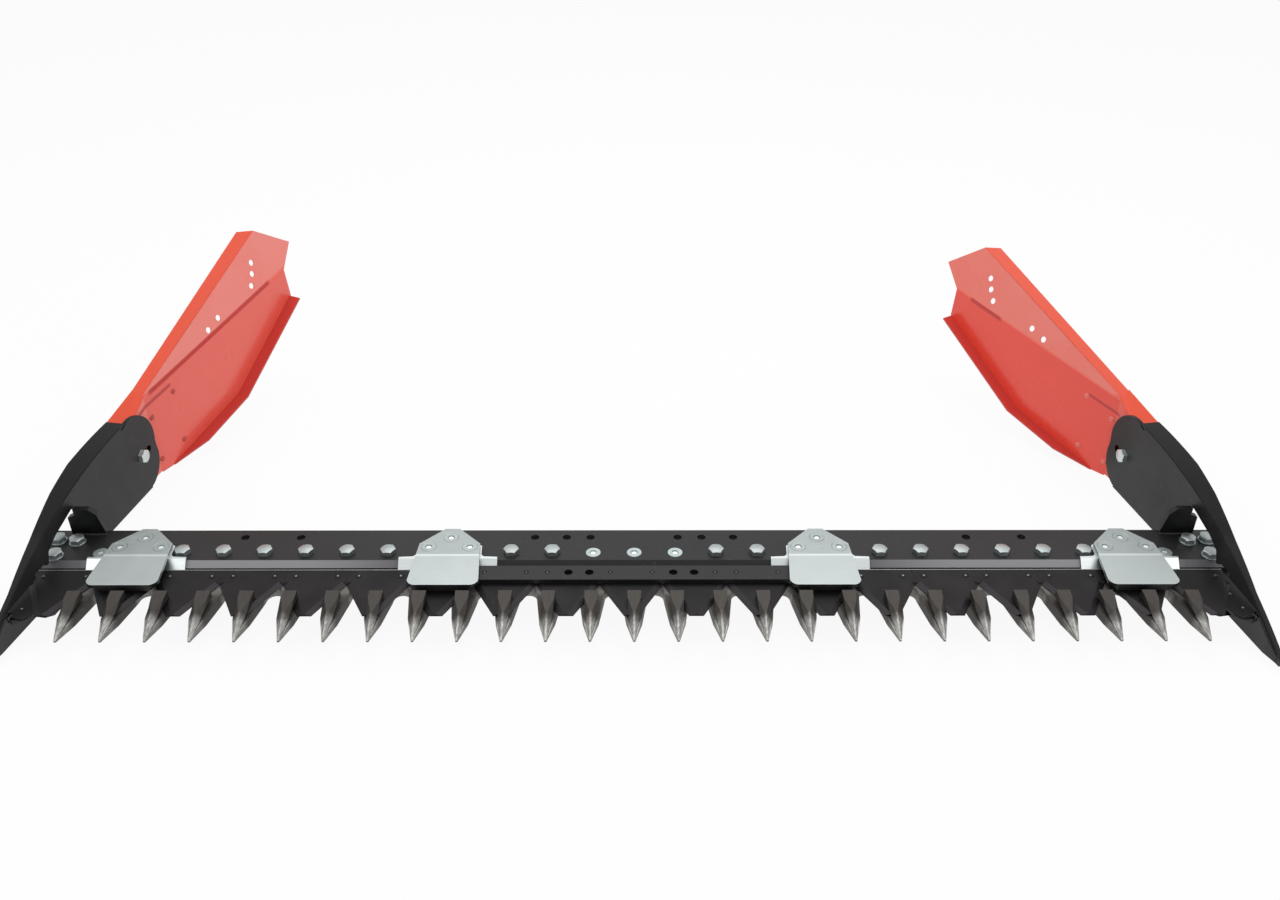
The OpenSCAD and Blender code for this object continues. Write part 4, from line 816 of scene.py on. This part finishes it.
flush = shallow_socket_screws("flush_screws", flush_zinc, FLUSH_FLOOR_Z)
clips = shallow_socket_screws("holder_screws", holder_zinc, HOLDER_FLOOR_Z)
rivets = rounded("knife_rivets", 0.6, 2, rivet_steel)
with_crown_highlight(rivets)
print("faces in the flush screws:", len(flush.data.polygons), "holder screws:", len(clips.data.polygons),
      "rivets:", len(rivets.data.polygons))

# %% [markdown]
# ## Hexagon bolts
# A bolt's head and its nut are hexagon bar whose ends are turned to a 30 degree cone, which leaves six
# curved edges. That is done here as on the lathe: a hexagon prism is cut back to what lies inside a cone.
# The thread's end is drawn up ring by ring from a small disc, each ring a little wider or narrower than the
# last.

# %% Hexagon bar and turned rings
HEX_R, FACE_R, CONE_OVER = 0.0098150, 0.0080, 0.0002
CONE_SLOPE = math.tan(math.radians(30))


def hexagon(low, high, ends):
    bpy.ops.object.select_all(action="DESELECT")
    middle, tall = (low + high) / 2, high - low + 2 * CONE_OVER
    bpy.ops.mesh.primitive_cylinder_add(vertices=6, radius=HEX_R, depth=high - low, location=(0, 0, middle),
                                        rotation=(0, 0, math.radians(30)))
    piece = bpy.context.object
    bpy.ops.object.transform_apply(location=True, rotation=True, scale=True)
    for end in ends:
        bpy.ops.object.select_all(action="DESELECT")
        bpy.ops.mesh.primitive_cone_add(
            vertices=48, radius1=FACE_R + (tall - CONE_OVER) / CONE_SLOPE,
            radius2=FACE_R - CONE_OVER / CONE_SLOPE, depth=tall, location=(0, 0, middle),
            rotation=(0 if end > 0 else math.pi, 0, 0))
        cone = bpy.context.object
        cut = piece.modifiers.new("chamfer", "BOOLEAN")
        cut.operation = "INTERSECT"
        cut.solver = "EXACT"
        cut.object = cone
        only(piece)
        bpy.ops.object.modifier_apply(modifier="chamfer")
        bpy.data.objects.remove(cone)
    return piece


def start_shaping():
    # the new piece's place goes into its mesh, and all of it is selected for the first move
    bpy.ops.object.transform_apply(location=True, rotation=True, scale=True)
    bpy.ops.object.mode_set(mode="EDIT")
    bpy.ops.mesh.select_all(action="SELECT")


def turned(low, start, rings):
    bpy.ops.object.select_all(action="DESELECT")
    bpy.ops.mesh.primitive_circle_add(vertices=24, radius=start, fill_type="NGON", location=(0, 0, low))
    piece = bpy.context.object
    start_shaping()
    height, radius = low, start
    for wide, rise in rings:
        bpy.ops.mesh.extrude_region_move(TRANSFORM_OT_translate={"value": (0, 0, rise)})
        height += rise
        bpy.ops.transform.resize(value=(wide / radius, wide / radius, 1), center_override=(0, 0, height))
        radius = wide
    bpy.ops.mesh.select_all(action="SELECT")
    bpy.ops.mesh.normals_make_consistent(inside=False)
    bpy.ops.object.mode_set(mode="OBJECT")
    return piece


print("hexagon", round(HEX_R * 2000, 2), "mm across its corners")

# %% [markdown]
# ## One bolt
# A bolt is a head, a shank with a thread and a nut. A real thread is a spiral, but only its last turns show
# below the nut, so rings of two widths stand for it.

# %% One hexagon bolt with its nut
FINGER_BOLT_LENGTH, FINGER_NUT_TOP = 0.034, -0.024
HEAD_H, NUT_H, SHANK_INTO_HEAD = 0.0064, 0.008, 0.001
THREAD_R, ROOT_R, TIP_R, TIP_H, HALF_TURN_H = 0.0049, 0.0044, 0.0040, 0.0007, 0.0004


def shank(low, high):
    rings = [(THREAD_R, TIP_H)] + [(ROOT_R, HALF_TURN_H), (THREAD_R, HALF_TURN_H)] * 3
    return turned(low, TIP_R, rings + [(THREAD_R, high - low - sum(rise for wide, rise in rings))])


def joined(pieces, name):
    bpy.ops.object.select_all(action="DESELECT")
    for piece in pieces:
        piece.select_set(True)
    bpy.context.view_layer.objects.active = pieces[0]
    bpy.ops.object.join()
    pieces[0].name = name
    return pieces[0]


def hex_bolt(name, length, nut_top):
    parts = [hexagon(0, HEAD_H, (1,)), shank(-length, SHANK_INTO_HEAD)]
    if nut_top is not None:
        parts.append(hexagon(nut_top - NUT_H, nut_top, (1, -1)))
    return joined(parts, name)


through = hex_bolt("through_bolt", FINGER_BOLT_LENGTH, FINGER_NUT_TOP)
print("one bolt with its nut:", len(through.data.polygons), "faces")

# %% [markdown]
# ## Bolts along the bar
# The finger bolts are alike and stand at the fingers' pitch, apart from the gaps where flush screws take
# their place. One bolt is copied to each place, and the copies are joined into one piece, because they
# share one node.

# %% Set the finger bolts out along the bar
FINGER_PITCH, BOLT_Y = 0.0508, -0.031
BOLTED = (-11, -10, -9, -8, -7, -6, -3, -2, 2, 3, 6, 7, 8, 9, 10, 11)


def set_out(model, node, places):
    copies = []
    for place in places:
        copy = model.copy()
        copy.data = model.data.copy()
        bpy.context.scene.collection.objects.link(copy)
        copy.data.transform(place)
        copies.append(copy)
    return joined(copies, node + "_turned")


def settle(piece, node, finish):
    if not piece.data.materials:
        piece.data.materials.append(finish)
    only(piece)
    bpy.ops.object.shade_smooth_by_angle(angle=SHARP_TURN)
    stand_in(piece, node)


at_fingers = [Matrix.Translation((i * FINGER_PITCH, BOLT_Y, 0)) for i in BOLTED]
finger_bolts = set_out(through, "finger_bolts", at_fingers)
settle(finger_bolts, "finger_bolts", zinc_bolt)
bpy.data.objects.remove(through)
print("finger bolts:", len(BOLTED), "with", len(finger_bolts.data.polygons), "faces")

# %% [markdown]
# ## Bolts of the shoes and pivots
# Three bolts on washers hold each shoe under the end of the bar, two small black screws hold its ledger,
# and one bolt is the pivot of the board. A washer is stamped: a ring is drawn from a circle, thickened and
# its rim eased.

# %% A stamped washer
WASHER_R, WASHER_HOLE, WASHER_T, WASHER_EASE = 0.010, 0.53, 0.002, 0.0004


def washer(low):
    bpy.ops.object.select_all(action="DESELECT")
    bpy.ops.mesh.primitive_circle_add(vertices=40, radius=WASHER_R, location=(0, 0, low))
    piece = bpy.context.object
    start_shaping()
    bpy.ops.mesh.extrude_edges_move(TRANSFORM_OT_translate={"value": (0, 0, 0)})
    bpy.ops.transform.resize(value=(WASHER_HOLE, WASHER_HOLE, 1), center_override=(0, 0, low))
    bpy.ops.mesh.select_all(action="SELECT")
    bpy.ops.mesh.normals_make_consistent(inside=False)
    bpy.ops.object.mode_set(mode="OBJECT")
    if piece.data.polygons[0].normal.z > 0:
        piece.data.flip_normals()
    wall = piece.modifiers.new("wall", "SOLIDIFY")
    wall.thickness = WASHER_T
    wall.offset = -1
    ease = piece.modifiers.new("ease", "BEVEL")
    ease.width = WASHER_EASE
    ease.segments = 2
    only(piece)
    bpy.ops.object.modifier_apply(modifier="wall")
    bpy.ops.object.modifier_apply(modifier="ease")
    return piece


def mirrored(piece):
    piece.data.transform(Matrix.Scale(-1, 4, (1, 0, 0)))
    piece.data.flip_normals()


def both_sides(model, node, places):
    right_hand = set_out(model, node, places)
    left_hand = set_out(model, node, places)
    mirrored(left_hand)
    return [right_hand, left_hand]


print("washer", WASHER_R * 2000, "mm wide")

# %% [markdown]
# ## Shoe bolts and ledger screws
# Each fastener is made once, set out on the right and mirrored to the left. A mirrored mesh is inside out,
# so its faces are turned round again. The small screws get a shallow socket floor in a paler finish.

# %% Shoe bolts and ledger screws
SHOE_BOLT_LENGTH = 0.026
SCREW_R, SCREW_HEAD_R, SCREW_SHANK, SCREW_HEAD = 0.003, 0.005, 0.008, 0.002
SOCKET_R, SOCKET_FLOOR_R, SOCKET_DEPTH = 0.0018, 0.0016, 0.0004
SHOE_BOLTS_MM, LEDGER_SCREWS_MM = ((36, 20.6), (60.5, 23), (52.5, -8.4)), (-96.6, -70.6)
LEDGER_X, LEDGER_TOP, LAST_FINGER = -0.008, -0.0083, 13
short = hex_bolt("shoe_bolt", SHOE_BOLT_LENGTH, None)
short.data.transform(Matrix.Translation((0, 0, WASHER_T)))
short = joined([short, washer(0.0)], "shoe_bolt")
short.data.materials.append(zinc_bolt)
small = turned(-SCREW_SHANK - SCREW_HEAD, SCREW_R, [
    (SCREW_R, SCREW_SHANK), (SCREW_HEAD_R, SCREW_HEAD), (SOCKET_R, 0.0), (SOCKET_FLOOR_R, -SOCKET_DEPTH)])
small.data.materials.append(ledger_steel)
small.data.materials.append(zinc_bolt)
for face in small.data.polygons:
    if face.normal.z > 0.9 and math.hypot(face.center.x, face.center.y) < SOCKET_FLOOR_R:
        face.material_index = 1
bar_end = Matrix.Translation((LAST_FINGER * FINGER_PITCH, BOLT_Y, 0))
at_bolts = [bar_end @ Matrix.Translation((x / 1000, y / 1000, 0)) for x, y in SHOE_BOLTS_MM]
at_screws = [SHOE @ Matrix.Translation((LEDGER_X, y / 1000, LEDGER_TOP)) for y in LEDGER_SCREWS_MM]
hands = both_sides(short, "shoe_bolts", at_bolts) + both_sides(small, "shoe_bolts", at_screws)
shoe_bolts = joined(hands, "shoe_bolts_turned")
settle(shoe_bolts, "shoe_bolts", zinc_bolt)
for model in (short, small):
    bpy.data.objects.remove(model)
print("shoe bolts and ledger screws:", len(shoe_bolts.data.polygons), "faces")

# %% [markdown]
# ## Pivot bolts
# A board turns on its pivot bolt, so the bolt's axis is the joint's own. The bolt is made upright like the
# others, gets a washer by its nut and is then laid on that axis.

# %% Pivot bolts
PIVOT_LENGTH, PIVOT_NUT_TOP = 0.0249, -0.0149
pivot_bolt = hex_bolt("pivot_bolt", PIVOT_LENGTH, PIVOT_NUT_TOP)
pivot_bolt = joined([pivot_bolt, washer(PIVOT_NUT_TOP)], "pivot_bolt")
pivot_bolt.data.materials.append(pivot_zinc)
along_axis = Matrix.Rotation(math.radians(-90), 4, "Y")
at_pivot = SHOE @ Matrix.Translation((0, PIVOT_REACH, PIVOT_RISE)) @ along_axis
right_pivot, left_pivot = both_sides(pivot_bolt, "pivot", [at_pivot])
for piece, node in ((right_pivot, "right_pivot_bolt"), (left_pivot, "left_pivot_bolt")):
    piece.name = node + "_turned"
    settle(piece, node, pivot_zinc)
bpy.data.objects.remove(pivot_bolt)
print("pivot bolt:", len(right_pivot.data.polygons), "faces")

# %% [markdown]
# ## Welds
# A gusset is welded to the bar along its foot, a shoe's leg to its sole in front of the ledger, and the
# ledger's seat to the leg. A weld bead is a row of overlapping drops, each frozen before the next, so one
# flattened drop is repeated along the seam.

# %% Weld beads at the gussets, the legs and the ledgers
DROP_SHAPE = (0.85, 0.95, 0.85)


def weld(name, side, radius, start, step, count):
    bpy.ops.object.select_all(action="DESELECT")
    bpy.ops.mesh.primitive_uv_sphere_add(segments=12, ring_count=8, radius=radius, location=start)
    bead = bpy.context.object
    bead.name = name
    start_shaping()
    bpy.ops.transform.resize(value=DROP_SHAPE, center_override=start)
    bpy.ops.object.mode_set(mode="OBJECT")
    row = bead.modifiers.new("row", "ARRAY")
    row.use_relative_offset = False
    row.use_constant_offset = True
    row.constant_offset_displace = step
    row.count = count
    bpy.ops.object.modifier_apply(modifier="row")
    bpy.ops.object.shade_smooth()
    if side < 0:
        mirrored(bead)
    bead.data.materials.append(shoe_enamel)
    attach(bead, "bar")
    print(bead.name, len(bead.data.polygons), "faces")


HANDS = ((1, "right"), (-1, "left"))
THIN_BEAD, THICK_BEAD = 0.0026, 0.0030
GUSSET_FOOT, GUSSET_STEP = (0.6685, 0.0062, 0.0002), (0.0021, 0, 0)
LEG_FOOT = SHOE @ Vector((0.0048, -0.1075, -0.0110))
SEAM_START = SHOE @ Vector((-0.0020, -0.1010, -0.0110))
LEG_STEP = SHOE.to_3x3() @ Vector((0, -0.0022, 0))
for side, hand in HANDS:
    weld(hand + "_gusset_weld", side, THIN_BEAD, GUSSET_FOOT, GUSSET_STEP, 17)
    weld(hand + "_leg_weld", side, THICK_BEAD, LEG_FOOT, LEG_STEP, 5)
    weld(hand + "_ledger_weld", side, THIN_BEAD, SEAM_START, LEG_STEP, 7)

# %% [markdown]
# ## Throat plates
# A small dark plate closes the shoe's throat between its leg and its ledger, below the knife's end, outside
# the web, and stands in for the shade there. It is drawn from a square, thickened, and its edges are eased.

# %% A plate under each end of the knife
THROAT_X, THROAT_Y, THROAT_TOP, THROAT_T = (0.0058, 0.026), (-0.058, -0.0235), -0.0134, 0.0032
THROAT_EASE = 0.0006
for side, hand in HANDS:
    bpy.ops.object.select_all(action="DESELECT")
    bpy.ops.mesh.primitive_plane_add(size=1, location=(0.5, 0.5, 0))
    plate = bpy.context.object
    plate.name = hand + "_throat_shade_plate"
    start_shaping()
    size = (THROAT_X[1] - THROAT_X[0], THROAT_Y[1] - THROAT_Y[0], 1)
    bpy.ops.transform.resize(value=size, center_override=(0, 0, 0))
    bpy.ops.transform.translate(value=(THROAT_X[0], THROAT_Y[0], THROAT_TOP - THROAT_T))
    bpy.ops.mesh.extrude_region_move(TRANSFORM_OT_translate={"value": (0, 0, THROAT_T)})
    bpy.ops.mesh.select_all(action="SELECT")
    bpy.ops.mesh.normals_make_consistent(inside=False)
    bpy.ops.mesh.bevel(offset=THROAT_EASE, segments=2)
    bpy.ops.object.mode_set(mode="OBJECT")
    plate.data.transform(SHOE)
    if side < 0:
        mirrored(plate)
    plate.data.materials.append(shaded_flange_enamel)
    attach(plate, "bar")
    print(plate.name, len(plate.data.polygons), "faces")
